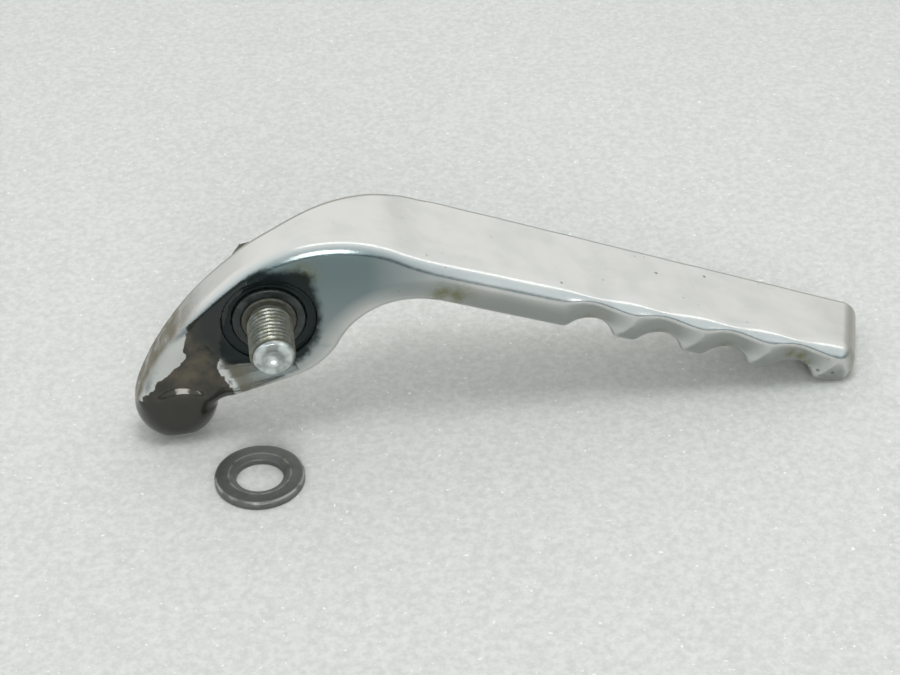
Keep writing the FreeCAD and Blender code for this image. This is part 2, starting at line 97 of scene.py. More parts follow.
class Graph:
    """Builder for the node tree of one material or world."""

    def __init__(self, tree: bpy.types.NodeTree) -> None:
        """Empty the tree that is built up here."""
        self.tree = tree
        tree.nodes.clear()

    def put(self, socket: bpy.types.NodeSocket, value: Value) -> None:
        """Link a node's output to a socket, or set a plain value on it.

        Args:
            socket: the input to fill.
            value: an output to link, or a plain value.
        """
        if isinstance(value, bpy.types.NodeSocket):
            self.tree.links.new(value, socket)
        else:
            socket.default_value = value

    def node(self, kind: str, inputs: Optional[dict] = None, **settings: object) -> bpy.types.Node:
        """Add a node.

        Args:
            kind: node type.
            inputs: socket names or numbers with their values or links.
            settings: node properties.

        Returns:
            The new node.
        """
        made = self.tree.nodes.new(kind)
        for name, value in settings.items():
            setattr(made, name, value)
        for key, value in (inputs or {}).items():
            self.put(made.inputs[key], value)
        return made

    def math(self, operation: str, first: Value, second: Value = 0.0) -> bpy.types.NodeSocket:
        """Return the result of one arithmetic step."""
        return self.node("ShaderNodeMath", {0: first, 1: second}, operation=operation).outputs[0]

    def step(self, value: Value, low: float, high: float) -> bpy.types.NodeSocket:
        """Return a smooth step from 0 at low to 1 at high.

        Args:
            value: the number to judge.
            low: where the step starts.
            high: where it ends.

        Returns:
            A share from 0 to 1.
        """
        made = self.node("ShaderNodeMapRange", {"Value": value, "From Min": low, "From Max": high},
                         interpolation_type="SMOOTHSTEP", clamp=True)
        return made.outputs["Result"]

    def span(self, value: Value, low: float, high: float) -> bpy.types.NodeSocket:
        """Return a 0 to 1 value stretched to the span from low to high."""
        made = self.node("ShaderNodeMapRange", {"Value": value, "To Min": low, "To Max": high}, clamp=True)
        return made.outputs["Result"]

    def blend(self, factor: Value, first: Value, second: Value) -> bpy.types.NodeSocket:
        """Return a colour between two colours."""
        made = self.node("ShaderNodeMix", {0: factor, 6: first, 7: second}, data_type="RGBA")
        return made.outputs[2]

    def attribute(self, name: str) -> bpy.types.NodeSocket:
        """Return a number that the mesh carries at its points."""
        return self.node("ShaderNodeAttribute", attribute_name=name).outputs["Fac"]

    def place(self, stretch: Numbers = (1.0, 1.0, 1.0)) -> bpy.types.NodeSocket:
        """Return the place on the piece in millimetres, stretched along its axes.

        Args:
            stretch: factor along each axis.

        Returns:
            The place.
        """
        source = self.node("ShaderNodeTexCoord").outputs["Object"]
        scale = tuple(part / MM for part in stretch)
        return self.node("ShaderNodeVectorMath", {0: source, 1: scale}, operation="MULTIPLY").outputs[0]

    def noise(self, place: Value, scale: float, detail: float = 3.0,
              rough: float = 0.5) -> bpy.types.NodeSocket:
        """Return cloudy noise from 0 to 1, with a scale in waves per millimetre."""
        inputs = {"Vector": place, "Scale": scale, "Detail": detail, "Roughness": rough}
        return self.node("ShaderNodeTexNoise", inputs).outputs["Fac"]

    def specks(self, place: Value, scale: float, size: float) -> bpy.types.NodeSocket:
        """Return a mask of round specks scattered over the surface."""
        made = self.node("ShaderNodeTexVoronoi", {"Vector": place, "Scale": scale})
        return self.math("LESS_THAN", made.outputs["Distance"], size)

    def bump(self, height: Value, depth: float,
             under: Optional[bpy.types.NodeSocket] = None) -> bpy.types.NodeSocket:
        """Return a normal from a height map whose full step is depth millimetres.

        Args:
            height: height map from 0 to 1.
            depth: height of a full step.
            under: a normal to add to, if any.

        Returns:
            The bent normal.
        """
        inputs = {"Height": height, "Distance": depth * MM, "Strength": 1.0}
        if under is not None:
            inputs["Normal"] = under
        return self.node("ShaderNodeBump", inputs).outputs["Normal"]

    def surface(self, colour: Value, metal: Value, rough: Value, normal: bpy.types.NodeSocket,
                coat: Value = 0.0, shine: float = 0.5) -> bpy.types.NodeSocket:
        """Return a principled surface.

        Args:
            colour: base colour.
            metal: share of metal.
            rough: roughness.
            normal: surface normal.
            coat: weight of a clear coat.
            shine: level of the plain reflection.

        Returns:
            The surface.
        """
        inputs = {"Base Color": colour, "Metallic": metal, "Roughness": rough, "Normal": normal,
                  "Coat Weight": coat, "Coat Roughness": 0.08, "Specular IOR Level": shine}
        return self.node("ShaderNodeBsdfPrincipled", inputs).outputs[0]

    def mix_surface(self, factor: Value, first: Value, second: Value) -> bpy.types.NodeSocket:
        """Return a surface between two surfaces."""
        return self.node("ShaderNodeMixShader", {0: factor, 1: first, 2: second}).outputs[0]

    def out(self, surface: bpy.types.NodeSocket) -> None:
        """Put the finished surface out."""
        self.node("ShaderNodeOutputMaterial", {"Surface": surface})


class Finish:
    """Procedural material; each kind of finish lays its own graph."""

    title: ClassVar[str] = ""

    def build(self, graph: Graph) -> bpy.types.NodeSocket:
        """Fill the graph and return its surface."""
        raise NotImplementedError

    def material(self) -> bpy.types.Material:
        """Make a new material with the finish's graph.

        Returns:
            The material.
        """
        material = bpy.data.materials.new(self.title)
        material.use_nodes = True
        graph = Graph(material.node_tree)
        graph.out(self.build(graph))
        return material


@dataclass(frozen=True)
class PolishedCasting(Finish):
    """Hand-polished aluminium with an oily brown film on the tail and grease round the pivot."""

    title: ClassVar[str] = "polished_casting"
    bright: Colour = (0.66, 0.665, 0.65, 1.0)
    dull: Colour = (0.60, 0.61, 0.60, 1.0)
    # Painted reflection of the dark room, blue-grey, on faces turned forwards.
    front: Colour = (0.18, 0.232, 0.242, 1.0)
    # Painted shade: darker grey on the tip's end face, the rear edge and the bevel.
    end: Colour = (0.32, 0.31, 0.265, 1.0)
    film: Colour = (0.021, 0.020, 0.015, 1.0)
    film_thin: Colour = (0.082, 0.068, 0.044, 1.0)
    grease: Colour = (0.006, 0.010, 0.010, 1.0)
    stain: Colour = (0.20, 0.195, 0.10, 1.0)
    smear: Colour = (0.13, 0.115, 0.085, 1.0)
    speck: Colour = (0.03, 0.028, 0.022, 1.0)
    cloud_noise: Numbers = (0.11, 4.0)
    grain_noise: Numbers = (2.6, 3.0)
    grain_depth: float = 0.012
    rub_stretch: Numbers = (0.12, 1.0, 1.0)
    rub_noise: Numbers = (1.6, 4.0, 0.65)
    rub_depth: float = 0.02
    dull_step: Numbers = (0.35, 0.7)
    metal_rough: Numbers = (0.13, 0.27)
    pit_specks: Numbers = (0.33, 0.08)
    pit_step: Numbers = (0.5, 0.6)
    pit_share: float = 0.5
    blotch_noise: Numbers = (0.5, 4.0)
    blotch_step: Numbers = (0.15, 0.75)
    stain_rough: float = 0.2
    speck_step: Numbers = (0.2, 0.85)
    speck_share: float = 0.8
    streak_stretch: Numbers = (1.0, 0.5, 0.3)
    streak_noise: Numbers = (0.6, 4.0)
    streak_step: Numbers = (0.25, 0.6)
    streak_share: Numbers = (0.55, 1.0)
    ragged_noise: Numbers = (0.5, 5.0, 0.65)
    torn_noise: Numbers = (0.17, 4.0)
    tear_reach: float = 2.2
    grease_step: Numbers = (-1.3, 0.9)
    grease_share: float = 0.95
    grease_rough: Numbers = (0.26, 0.42)
    lump_noise: Numbers = (0.7, 3.0)
    lump_depth: float = 0.10
    ring_waves: float = 6.0
    ring_end: Numbers = (10.6, 10.2)
    ring_depth: float = 0.05
    film_step: Numbers = (-0.1, 0.1)
    film_rough: Numbers = (0.10, 0.18)
    tone_noise: Numbers = (0.2, 4.0)
    tone_step: Numbers = (0.34, 0.66)
    near_grease: Numbers = (-4.0, 2.0)
    run_noise: Numbers = (0.25, 3.0)
    run_depth: float = 0.10

    def build(self, graph: Graph) -> bpy.types.NodeSocket:
        """Lay grease and film over the bare metal, with edges torn by two sizes of noise.

        Args:
            graph: the graph to fill.

        Returns:
            The surface.
        """
        place = graph.place()
        cloud = graph.noise(place, *self.cloud_noise)
        grain = graph.noise(place, *self.grain_noise)
        ragged = graph.math("SUBTRACT", graph.noise(place, *self.ragged_noise), 0.5)
        torn = graph.math("SUBTRACT", graph.noise(place, *self.torn_noise), 0.5)
        tear = graph.math("ADD", graph.math("MULTIPLY", ragged, self.tear_reach),
                          graph.math("MULTIPLY", torn, self.tear_reach))
        depth = graph.attribute("grease")
        greased = graph.step(graph.math("ADD", depth, tear), *self.grease_step)
        lumps = graph.bump(graph.noise(place, *self.lump_noise), self.lump_depth)
        rings = graph.bump(self.rings(graph, place), self.ring_depth, lumps)
        grease = graph.surface(self.grease, 0.3, graph.span(grain, *self.grease_rough), rings, shine=0.15)
        bare = self.bare(graph, place, cloud, grain)
        surface = graph.mix_surface(graph.math("MULTIPLY", greased, self.grease_share), bare, grease)

        filmed = graph.step(graph.math("ADD", graph.attribute("film"), tear), *self.film_step)
        thin = graph.step(graph.noise(place, *self.tone_noise), *self.tone_step)
        tone = graph.blend(thin, self.film, self.film_thin)
        tone = graph.blend(graph.attribute("ball"), tone, self.film)
        tone = graph.blend(graph.step(depth, *self.near_grease), tone, self.grease)
        runs = graph.bump(graph.noise(place, *self.run_noise), self.run_depth)
        film = graph.surface(tone, 0.2, graph.span(cloud, *self.film_rough), runs, coat=0.4, shine=0.4)
        return graph.mix_surface(filmed, surface, film)

    def bare(self, graph: Graph, place: bpy.types.NodeSocket, cloud: bpy.types.NodeSocket,
             grain: bpy.types.NodeSocket) -> bpy.types.NodeSocket:
        """Return the polished metal with its painted reflection, painted shade, pits, stains, specks and dull
        smears.

        Args:
            graph: the graph to fill.
            place: place on the casting.
            cloud: wide noise.
            grain: fine noise.

        Returns:
            The surface.
        """
        rub = graph.noise(graph.place(self.rub_stretch), *self.rub_noise)
        metal = graph.blend(graph.step(cloud, *self.dull_step), self.bright, self.dull)
        # Painted reflection: the blue-grey front tint.
        metal = graph.blend(graph.attribute("front"), metal, self.front)
        # Painted shade: the end tint.
        metal = graph.blend(graph.attribute("end"), metal, self.end)
        pits = graph.math("MULTIPLY", graph.specks(place, *self.pit_specks), graph.step(cloud, *self.pit_step))
        metal = graph.blend(graph.math("MULTIPLY", pits, self.pit_share), metal, self.stain)
        blotch = graph.step(graph.noise(place, *self.blotch_noise), *self.blotch_step)
        stain = graph.math("MULTIPLY", graph.attribute("stain"), blotch)
        metal = graph.blend(stain, metal, self.stain)
        speck = graph.math("MULTIPLY", graph.step(graph.attribute("speck"), *self.speck_step), self.speck_share)
        metal = graph.blend(speck, metal, self.speck)
        fine = graph.bump(grain, self.grain_depth, graph.bump(rub, self.rub_depth))
        stained = graph.math("MULTIPLY", stain, self.stain_rough)
        rough = graph.math("ADD", graph.span(rub, *self.metal_rough), stained)
        polished = graph.surface(metal, 1.0, rough, fine)
        streak = graph.noise(graph.place(self.streak_stretch), *self.streak_noise)
        streak = graph.span(graph.step(streak, *self.streak_step), *self.streak_share)
        smear = graph.math("MULTIPLY", graph.attribute("smear"), streak)
        return graph.mix_surface(smear, polished, graph.surface(self.smear, 0.0, 0.6, fine, shine=0.2))

    def rings(self, graph: Graph, place: bpy.types.NodeSocket) -> bpy.types.NodeSocket:
        """Return the turned rings of the recess, a sine of the distance from the pivot, ending at its wall.

        Args:
            graph: the graph to fill.
            place: place on the casting.

        Returns:
            Heights from -1 to 1.
        """
        parts = graph.node("ShaderNodeSeparateXYZ", {0: place}).outputs
        squares = [graph.math("MULTIPLY", parts[axis], parts[axis]) for axis in ("X", "Z")]
        reach = graph.math("SQRT", graph.math("ADD", *squares))
        wave = graph.math("SINE", graph.math("MULTIPLY", reach, self.ring_waves))
        return graph.math("MULTIPLY", wave, graph.step(reach, *self.ring_end))


@dataclass(frozen=True)
class WornZinc(Finish):
    """Yellowish zinc plate with dark grease down in the thread, and painted shade down one side."""

    title: ClassVar[str] = "worn_zinc"
    bright: Colour = (0.26, 0.27, 0.247, 1.0)
    yellow: Colour = (0.19, 0.192, 0.15, 1.0)
    end: Colour = (0.66, 0.70, 0.695, 1.0)
    dent: Colour = (0.36, 0.385, 0.38, 1.0)
    # Brown-black of the grime and of the painted shade down one side.
    grime_and_shade: Colour = (0.045, 0.042, 0.030, 1.0)
    cloud_noise: Numbers = (0.6, 4.0)
    yellow_step: Numbers = (0.35, 0.65)
    dent_noise: Numbers = (0.4, 1.0)
    dent_step: Numbers = (0.36, 0.62)
    dent_depth: float = 0.25
    grain_noise: Numbers = (4.0, 3.0)
    grain_depth: float = 0.02
    rough: Numbers = (0.24, 0.42)
    grime_and_shade_share: Numbers = (0.6, 1.0)
    grime_and_shade_rough: float = 0.2
    grime_and_shade_cover: float = 0.6

    def build(self, graph: Graph) -> bpy.types.NodeSocket:
        """Lay grime into the roots of the plated metal, and painted shade down one side.

        Args:
            graph: the graph to fill.

        Returns:
            The surface.
        """
        place = graph.place()
        cloud = graph.noise(place, *self.cloud_noise)
        grain = graph.noise(place, *self.grain_noise)
        plate = graph.blend(graph.step(cloud, *self.yellow_step), self.bright, self.yellow)
        hammered = graph.noise(place, *self.dent_noise)
        end = graph.blend(graph.step(hammered, *self.dent_step), self.dent, self.end)
        plate = graph.blend(graph.attribute("end"), plate, end)
        # Grime and painted shade, from the bolt's marks.
        dirt_and_shade = graph.math("MULTIPLY", graph.attribute("grime_and_shade"), graph.span(cloud, *self.grime_and_shade_share))
        colour = graph.blend(dirt_and_shade, plate, self.grime_and_shade)
        greasy = graph.math("MULTIPLY", dirt_and_shade, self.grime_and_shade_rough)
        rough = graph.math("ADD", graph.span(grain, *self.rough), greasy)
        metal = graph.math("SUBTRACT", 1.0, graph.math("MULTIPLY", dirt_and_shade, self.grime_and_shade_cover))
        dents = graph.bump(hammered, self.dent_depth)
        return graph.surface(colour, metal, rough, graph.bump(grain, self.grain_depth, dents))


@dataclass(frozen=True)
class GreasySteel(Finish):
    """Turned steel ring under old grease."""

    title: ClassVar[str] = "greasy_steel"
    steel: Colour = (0.10, 0.11, 0.105, 1.0)
    grease: Colour = (0.014, 0.019, 0.017, 1.0)
    smear_noise: Numbers = (0.4, 4.0)
    smear_step: Numbers = (0.2, 0.55)
    grain_noise: Numbers = (3.0, 2.0)
    grain_depth: float = 0.03
    metal: Numbers = (0.95, 0.15)
    rough: Numbers = (0.25, 0.45)

    def build(self, graph: Graph) -> bpy.types.NodeSocket:
        """Smear grease over the steel.

        Args:
            graph: the graph to fill.

        Returns:
            The surface.
        """
        place = graph.place()
        smear = graph.step(graph.noise(place, *self.smear_noise), *self.smear_step)
        grain = graph.noise(place, *self.grain_noise)
        colour = graph.blend(smear, self.steel, self.grease)
        return graph.surface(colour, graph.span(smear, *self.metal), graph.span(grain, *self.rough),
                             graph.bump(grain, self.grain_depth))


@dataclass(frozen=True)
class BlackOxide(Finish):
    """Black-finished steel, rubbed brighter on its edges, with dust."""

    title: ClassVar[str] = "black_oxide"
    black: Colour = (0.14, 0.145, 0.138, 1.0)
    rubbed: Colour = (0.42, 0.42, 0.39, 1.0)
    dust: Colour = (0.30, 0.29, 0.26, 1.0)
    cloud_noise: Numbers = (0.35, 4.0)
    worn_step: Numbers = (0.35, 0.6)
    worn_share: float = 0.8
    dust_specks: Numbers = (1.1, 0.16)
    dust_share: float = 0.35
    grain_noise: Numbers = (2.2, 4.0)
    grain_depth: float = 0.03
    metal: float = 0.8
    rough: Numbers = (0.32, 0.5)

    def build(self, graph: Graph) -> bpy.types.NodeSocket:
        """Rub the edges through the black and sprinkle dust.

        Args:
            graph: the graph to fill.

        Returns:
            The surface.
        """
        place = graph.place()
        cloud = graph.noise(place, *self.cloud_noise)
        grain = graph.noise(place, *self.grain_noise)
        worn = graph.math("MULTIPLY", graph.attribute("edge"), graph.step(cloud, *self.worn_step))
        colour = graph.blend(graph.math("MULTIPLY", worn, self.worn_share), self.black, self.rubbed)
        dusty = graph.math("MULTIPLY", graph.specks(place, *self.dust_specks), self.dust_share)
        colour = graph.blend(dusty, colour, self.dust)
        return graph.surface(colour, self.metal, graph.span(grain, *self.rough),
                             graph.bump(grain, self.grain_depth))


@dataclass(frozen=True)
class PackingFoam(Finish):
    """White packing sheet with a fine sparkling grain."""

    title: ClassVar[str] = "packing_foam"
    white: Colour = (0.545, 0.546, 0.530, 1.0)
    shade: Colour = (0.437, 0.441, 0.428, 1.0)
    spark: Colour = (0.68, 0.68, 0.665, 1.0)
    grain_noise: Numbers = (0.6, 6.0, 0.7)
    grain_depth: float = 0.10
    white_step: Numbers = (0.30, 0.70)
    spark_noise: Numbers = (0.8, 2.0, 0.5)
    spark_step: Numbers = (0.68, 0.76)
    rough: Numbers = (0.6, 0.8)

    def build(self, graph: Graph) -> bpy.types.NodeSocket:
        """Scatter grain and sparks over the sheet.

        Args:
            graph: the graph to fill.

        Returns:
            The surface.
        """
        place = graph.place()
        grain = graph.noise(place, *self.grain_noise)
        colour = graph.blend(graph.step(grain, *self.white_step), self.shade, self.white)
        sparks = graph.step(graph.noise(place, *self.spark_noise), *self.spark_step)
        colour = graph.blend(sparks, colour, self.spark)
        return graph.surface(colour, 0.0, graph.span(grain, *self.rough), graph.bump(grain, self.grain_depth))


# Meshes


def new_piece(name: str, points: Array, faces: list, finish: Finish, normals: Optional[Array] = None,
              marks: Optional[dict[str, Array]] = None) -> bpy.types.Object:
    """Make a mesh object at the origin.

    Args:
        name: piece name.
        points: places in millimetres, one row each.
        faces: corner numbers of each face.
        finish: what the piece is coated with.
        normals: shading directions at the points, or None for plain smooth shading.
        marks: numbers at the points that the material reads.

    Returns:
        The object.
    """
    mesh = bpy.data.meshes.new(name)
    mesh.from_pydata((points * MM).tolist(), [], faces)
    mesh.update()
    mesh.shade_smooth()
    for mark, values in (marks or {}).items():
        layer = mesh.attributes.new(mark, "FLOAT", "POINT")
        layer.data.foreach_set("value", np.ascontiguousarray(values, dtype=np.float32))
    if normals is None:
        mesh.set_sharp_from_angle(angle=SHARP_ANGLE)
    else:
        mesh.normals_split_custom_set_from_vertices(normals.tolist())
    mesh.materials.append(finish.material())
    made = bpy.data.objects.new(name, mesh)
    bpy.context.scene.collection.objects.link(made)
    return made


def grid_faces(rows: int, columns: int, closed: bool) -> list:
    """Return the quads of a grid that closes round its columns and, if asked, round its rows too.

    Args:
        rows: number of rows.
        columns: number of columns.
        closed: whether the last row joins the first.

    Returns:
        Corner numbers of each quad.
    """
    row = np.arange(rows if closed else rows - 1)[:, None]
    column = np.arange(columns)[None, :]
    ahead = (row + 1) % rows
    aside = (column + 1) % columns
    quads = np.stack([row * columns + column, row * columns + aside,
                      ahead * columns + aside, ahead * columns + column], axis=-1)
    return quads.reshape(-1, 4).tolist()


def cap_faces(first: int, columns: int, centre: int, turned: bool) -> list:
    """Return the triangles that close one row of a grid to a centre point.

    Args:
        first: number of the row's first point.
        columns: points in the row.
        centre: number of the centre point.
        turned: whether the triangles run the other way round.

    Returns:
        Corner numbers of each triangle.
    """
    column = np.arange(columns)
    sides = [first + column, first + (column + 1) % columns]
    if turned:
        sides.reverse()
    return np.stack([*sides, np.full(columns, centre)], axis=-1).tolist()


def surface_net(values: Array, low: Array, step: float) -> tuple[Array, Array]:
    """Mesh the zero surface of a field on a grid, one point in each cell that it crosses.

    The point is the mean of the places where the cell's twelve edges cross zero, found by straight-line
    interpolation. Each grid edge that crosses zero gives one quad between the four cells round it.

    Args:
        values: field on the grid, above zero inside.
        low: place of the grid's first sample.
        step: grid spacing.

    Returns:
        Points, and quads as rows of four point numbers.
    """
    inside = values > 0.0
    offsets = np.array([(i, j, k) for i in (0, 1) for j in (0, 1) for k in (0, 1)])
    cells = tuple(length - 1 for length in values.shape)
    count = np.zeros(cells, dtype=np.int8)
    for i, j, k in offsets:
        count += inside[i:i + cells[0], j:j + cells[1], k:k + cells[2]]
    where = np.argwhere((count > 0) & (count < 8))
    number = np.full(cells, -1, dtype=np.int64)
    number[tuple(where.T)] = np.arange(len(where))
    corner = np.stack([values[tuple((where + offset).T)] for offset in offsets], axis=1)
    total = np.zeros((len(where), 3))
    crossings = np.zeros((len(where), 1))
    pairs = [(a, b) for a in range(8) for b in range(a + 1, 8) if abs(offsets[a] - offsets[b]).sum() == 1]
    for a, b in pairs:
        crossed = (corner[:, a] > 0) != (corner[:, b] > 0)
        share = np.where(crossed, corner[:, a] / np.where(crossed, corner[:, a] - corner[:, b], 1.0), 0.0)
        spot = offsets[a] + share[:, None] * (offsets[b] - offsets[a])
        total += np.where(crossed[:, None], spot, 0.0)
        crossings += crossed[:, None]
    points = low + step * (where + total / crossings)
    quads = []
    for axis in range(3):
        across, up = (axis + 1) % 3, (axis + 2) % 3
        change = np.argwhere(np.diff(inside.astype(np.int8), axis=axis) != 0)
        change = change[(change[:, across] > 0) & (change[:, up] > 0)]
        back = np.eye(3, dtype=np.int64)
        ring = [change - back[across] - back[up], change - back[up], change, change - back[across]]
        quad = np.stack([number[tuple(spot.T)] for spot in ring], axis=1)
        outward = inside[tuple(change.T)]
        quads.append(np.where(outward[:, None], quad, quad[:, ::-1]))
    return points, np.concatenate(quads)


# Outline of the casting in the front view, as complex numbers x + i z


@dataclass(frozen=True)
class Straight:
    """Endless line; the metal lies to the left of its way."""

    point: complex
    way: complex

    def shifted(self, left: float) -> "Straight":
        """Return the line moved to its left."""
        return Straight(self.point + 1j * self.way * left, self.way)

    def foot(self, place: complex) -> complex:
        """Return the line's nearest point to a place."""
        return self.point + self.way * ((place - self.point) * self.way.conjugate()).real

    def gap(self, places: Array, start: complex, end: complex) -> tuple[Array, Array]:
        """Measure places against the stretch from start to end.

        Args:
            places: complex places.
            start: where the stretch starts.
            end: where it ends.

        Returns:
            Distance to the stretch, and height to its left.
        """
        local = (places - start) * self.way.conjugate()
        beyond = local.real - np.clip(local.real, 0.0, abs(end - start))
        return np.hypot(beyond, local.imag), local.imag


@dataclass(frozen=True)
class Round:
    """Circle; turn 1 has the metal inside, turn -1 has it outside."""

    centre: complex
    radius: float
    turn: int = 1

    def shifted(self, left: float) -> "Round":
        """Return the circle moved to the left of its way."""
        return Round(self.centre, self.radius - self.turn * left, self.turn)

    def foot(self, place: complex) -> complex:
        """Return the circle's nearest point to a place."""
        arm = place - self.centre
        return self.centre + arm / abs(arm) * self.radius

    def gap(self, places: Array, start: complex, end: complex) -> tuple[Array, Array]:
        """Measure places against the stretch from start to end.

        Args:
            places: complex places.
            start: where the stretch starts.
            end: where it ends.

        Returns:
            Distance to the stretch, and height to its left.
        """
        arm = places - self.centre
        first = start - self.centre
        sweep = np.mod(self.turn * np.angle((end - self.centre) / first), 2.0 * np.pi)
        angle = np.mod(self.turn * np.angle(arm / first), 2.0 * np.pi)
        height = self.turn * (self.radius - np.abs(arm))
        ends = np.minimum(np.abs(places - start), np.abs(places - end))
        return np.where(angle <= sweep, np.abs(height), ends), height


Carrier = Union[Straight, Round]


def meet(first: Carrier, second: Carrier, near: complex) -> complex:
    """Find the crossing of two carriers that lies nearest to a place.

    Two lines cross where the gap's share across the second way equals the first way's share. A line
    crosses a circle at equal steps either side of its nearest point to the centre, and two circles cross
    at equal steps either side of the middle of their common chord.

    Args:
        first: one carrier.
        second: the other carrier.
        near: the place.

    Returns:
        The crossing.
    """
    if isinstance(first, Round) and isinstance(second, Straight):
        first, second = second, first
    if isinstance(second, Straight):
        gap = second.point - first.point
        along = (gap.conjugate() * second.way).imag / (first.way.conjugate() * second.way).imag
        return first.point + first.way * along
    if isinstance(first, Straight):
        foot = first.foot(second.centre)
        half = math.sqrt(second.radius ** 2 - abs(foot - second.centre) ** 2)
        found = (foot + first.way * half, foot - first.way * half)
    else:
        way = second.centre - first.centre
        along = (first.radius ** 2 - second.radius ** 2 + abs(way) ** 2) / (2.0 * abs(way))
        half = math.sqrt(first.radius ** 2 - along ** 2)
        found = tuple(first.centre + way / abs(way) * (along + side * 1j * half) for side in (1, -1))
    return min(found, key=lambda place: abs(place - near))


@dataclass(frozen=True)
class Stretch:
    """Part of a carrier between two points, with the rounds of its front and back edges and its front bevel."""

    carrier: Carrier
    start: complex
    end: complex
    edges: tuple[float, ...]


@dataclass(frozen=True)
class Joint:
    """How one carrier goes over into the next: smoothly at a point, or by a round near a corner."""

    near: complex
    radius: float = 0.0
    hollow: bool = False


@dataclass
class Outline:
    """Closed front view of the casting, walked counter-clockwise."""

    stretches: list[Stretch] = field(default_factory=list)
    blend_reach: float = 1.6

    @classmethod
    def through(cls, walk: list[tuple[Carrier, Zone, Joint]]) -> "Outline":
        """Build the outline.

        Args:
            walk: carriers in order, each with its zone and its joint to the next.

        Returns:
            The outline with its corner rounds.
        """
        made = cls()
        count = len(walk)
        leave, arrive, rounds = [], [None] * count, []
        for index, (carrier, zone, joint) in enumerate(walk):
            following, next_zone, _ = walk[(index + 1) % count]
            if joint.radius == 0.0:
                leave.append(joint.near)
                arrive[(index + 1) % count] = joint.near
                continue
            shift = -joint.radius if joint.hollow else joint.radius
            centre = meet(carrier.shifted(shift), following.shifted(shift), joint.near)
            leave.append(carrier.foot(centre))
            arrive[(index + 1) % count] = following.foot(centre)
            edges = tuple((a + b) / 2.0 for a, b in zip(zone.value, next_zone.value))
            turn = Round(centre, joint.radius, -1 if joint.hollow else 1)
            rounds.append(Stretch(turn, leave[-1], following.foot(centre), edges))
        plain = [Stretch(carrier, start, end, zone.value)
                 for (carrier, zone, _), start, end in zip(walk, arrive, leave)]
        made.stretches = plain + rounds
        return made

    def measure(self, places: Array) -> tuple[Array, Array, Array]:
        """Measure places against the outline.

        The depth is the signed distance to the nearest stretch. The edge rounds are means over all
        stretches, weighted by the fourth power of nearness. The bevel counts from the bevelled ones alone.

        Args:
            places: complex places.

        Returns:
            Depth inside the outline, distance beyond the bevel, and the front and back rounds.
        """
        best, beyond = np.full((2, *places.shape), np.inf)
        depth, weights = np.zeros((2, *places.shape))
        rounds = np.zeros((2, *places.shape))
        for stretch in self.stretches:
            gap, height = stretch.carrier.gap(places, stretch.start, stretch.end)
            nearer = gap < best
            best = np.where(nearer, gap, best)
            depth = np.where(nearer, np.where(height >= 0.0, gap, -gap), depth)
            weight = (gap + self.blend_reach) ** -4.0
            weights += weight
            *edges, bevel = stretch.edges
            rounds += np.multiply.outer(np.array(edges), weight)
            if bevel > 0.0:
                beyond = np.minimum(beyond, gap - bevel)
        return depth, beyond, rounds / weights


@dataclass(frozen=True)
class Patch:
    """Many-cornered area of the front view."""

    corners: tuple[complex, ...]

    def depth(self, places: Array) -> Array:
        """Return the distance inside the border, below zero outside.

        The distance is the least one to the border's lines. A place is inside where an odd number of
        lines lies to its right.

        Args:
            places: complex places.

        Returns:
            Distances in millimetres.
        """
        best = np.full(places.shape, np.inf)
        inside = np.zeros(places.shape, dtype=bool)
        for start, end in zip(self.corners, self.corners[1:] + self.corners[:1]):
            way = end - start
            share = np.clip(((places - start) * np.conj(way)).real / abs(way) ** 2, 0.0, 1.0)
            best = np.minimum(best, np.abs(places - start - share * way))
            straddles = (start.imag > places.imag) != (end.imag > places.imag)
            crossing = start.real + (places.imag - start.imag) * way.real / (way.imag or 1.0)
            inside ^= straddles & (places.real < crossing)
        return np.where(inside, best, -best)


FILM = Patch((-3.0 + 14.0j, -12.0 + 11.0j, -15.8 + 4.6j, -17.7 - 0.3j, -18.8 - 4.0j, -18.6 - 8.1j,
              -20.5 - 10.7j, -23.0 - 12.9j, -25.0 - 14.3j, -26.3 - 16.4j, -29.0 - 17.9j, -30.8 - 20.9j,
              -36.0 - 22.0j, -36.0 - 40.0j, -1.0 - 40.0j, -7.4 - 23.6j, -12.0 - 11.6j, -10.5 - 3.0j,
              -8.0 + 5.0j, -4.5 + 9.5j))
GREASE = Patch((-12.0 + 12.0j, -5.0 + 16.0j, -1.0 + 13.4j, 4.1 + 12.4j, 7.1 + 12.9j, 9.8 + 11.1j,
                10.5 + 5.6j, 11.2 + 0.0j, 10.4 - 5.5j, 8.0 - 9.6j, 4.4 - 12.6j, 0.0 - 14.6j,
                -5.6 - 15.6j, -8.6 - 13.0j, -9.6 - 11.0j, -15.5 - 3.0j, -16.0 + 3.0j))


@dataclass(frozen=True)
class Fade:
    """Straight rise from 0 at a start to 1 a length further on; a length below zero runs the other way."""

    start: float
    length: float

    def at(self, values: Array) -> Array:
        """Return the shares at the values, held at 0 and 1 beyond the ends."""
        return np.clip((values - self.start) / self.length, 0.0, 1.0)


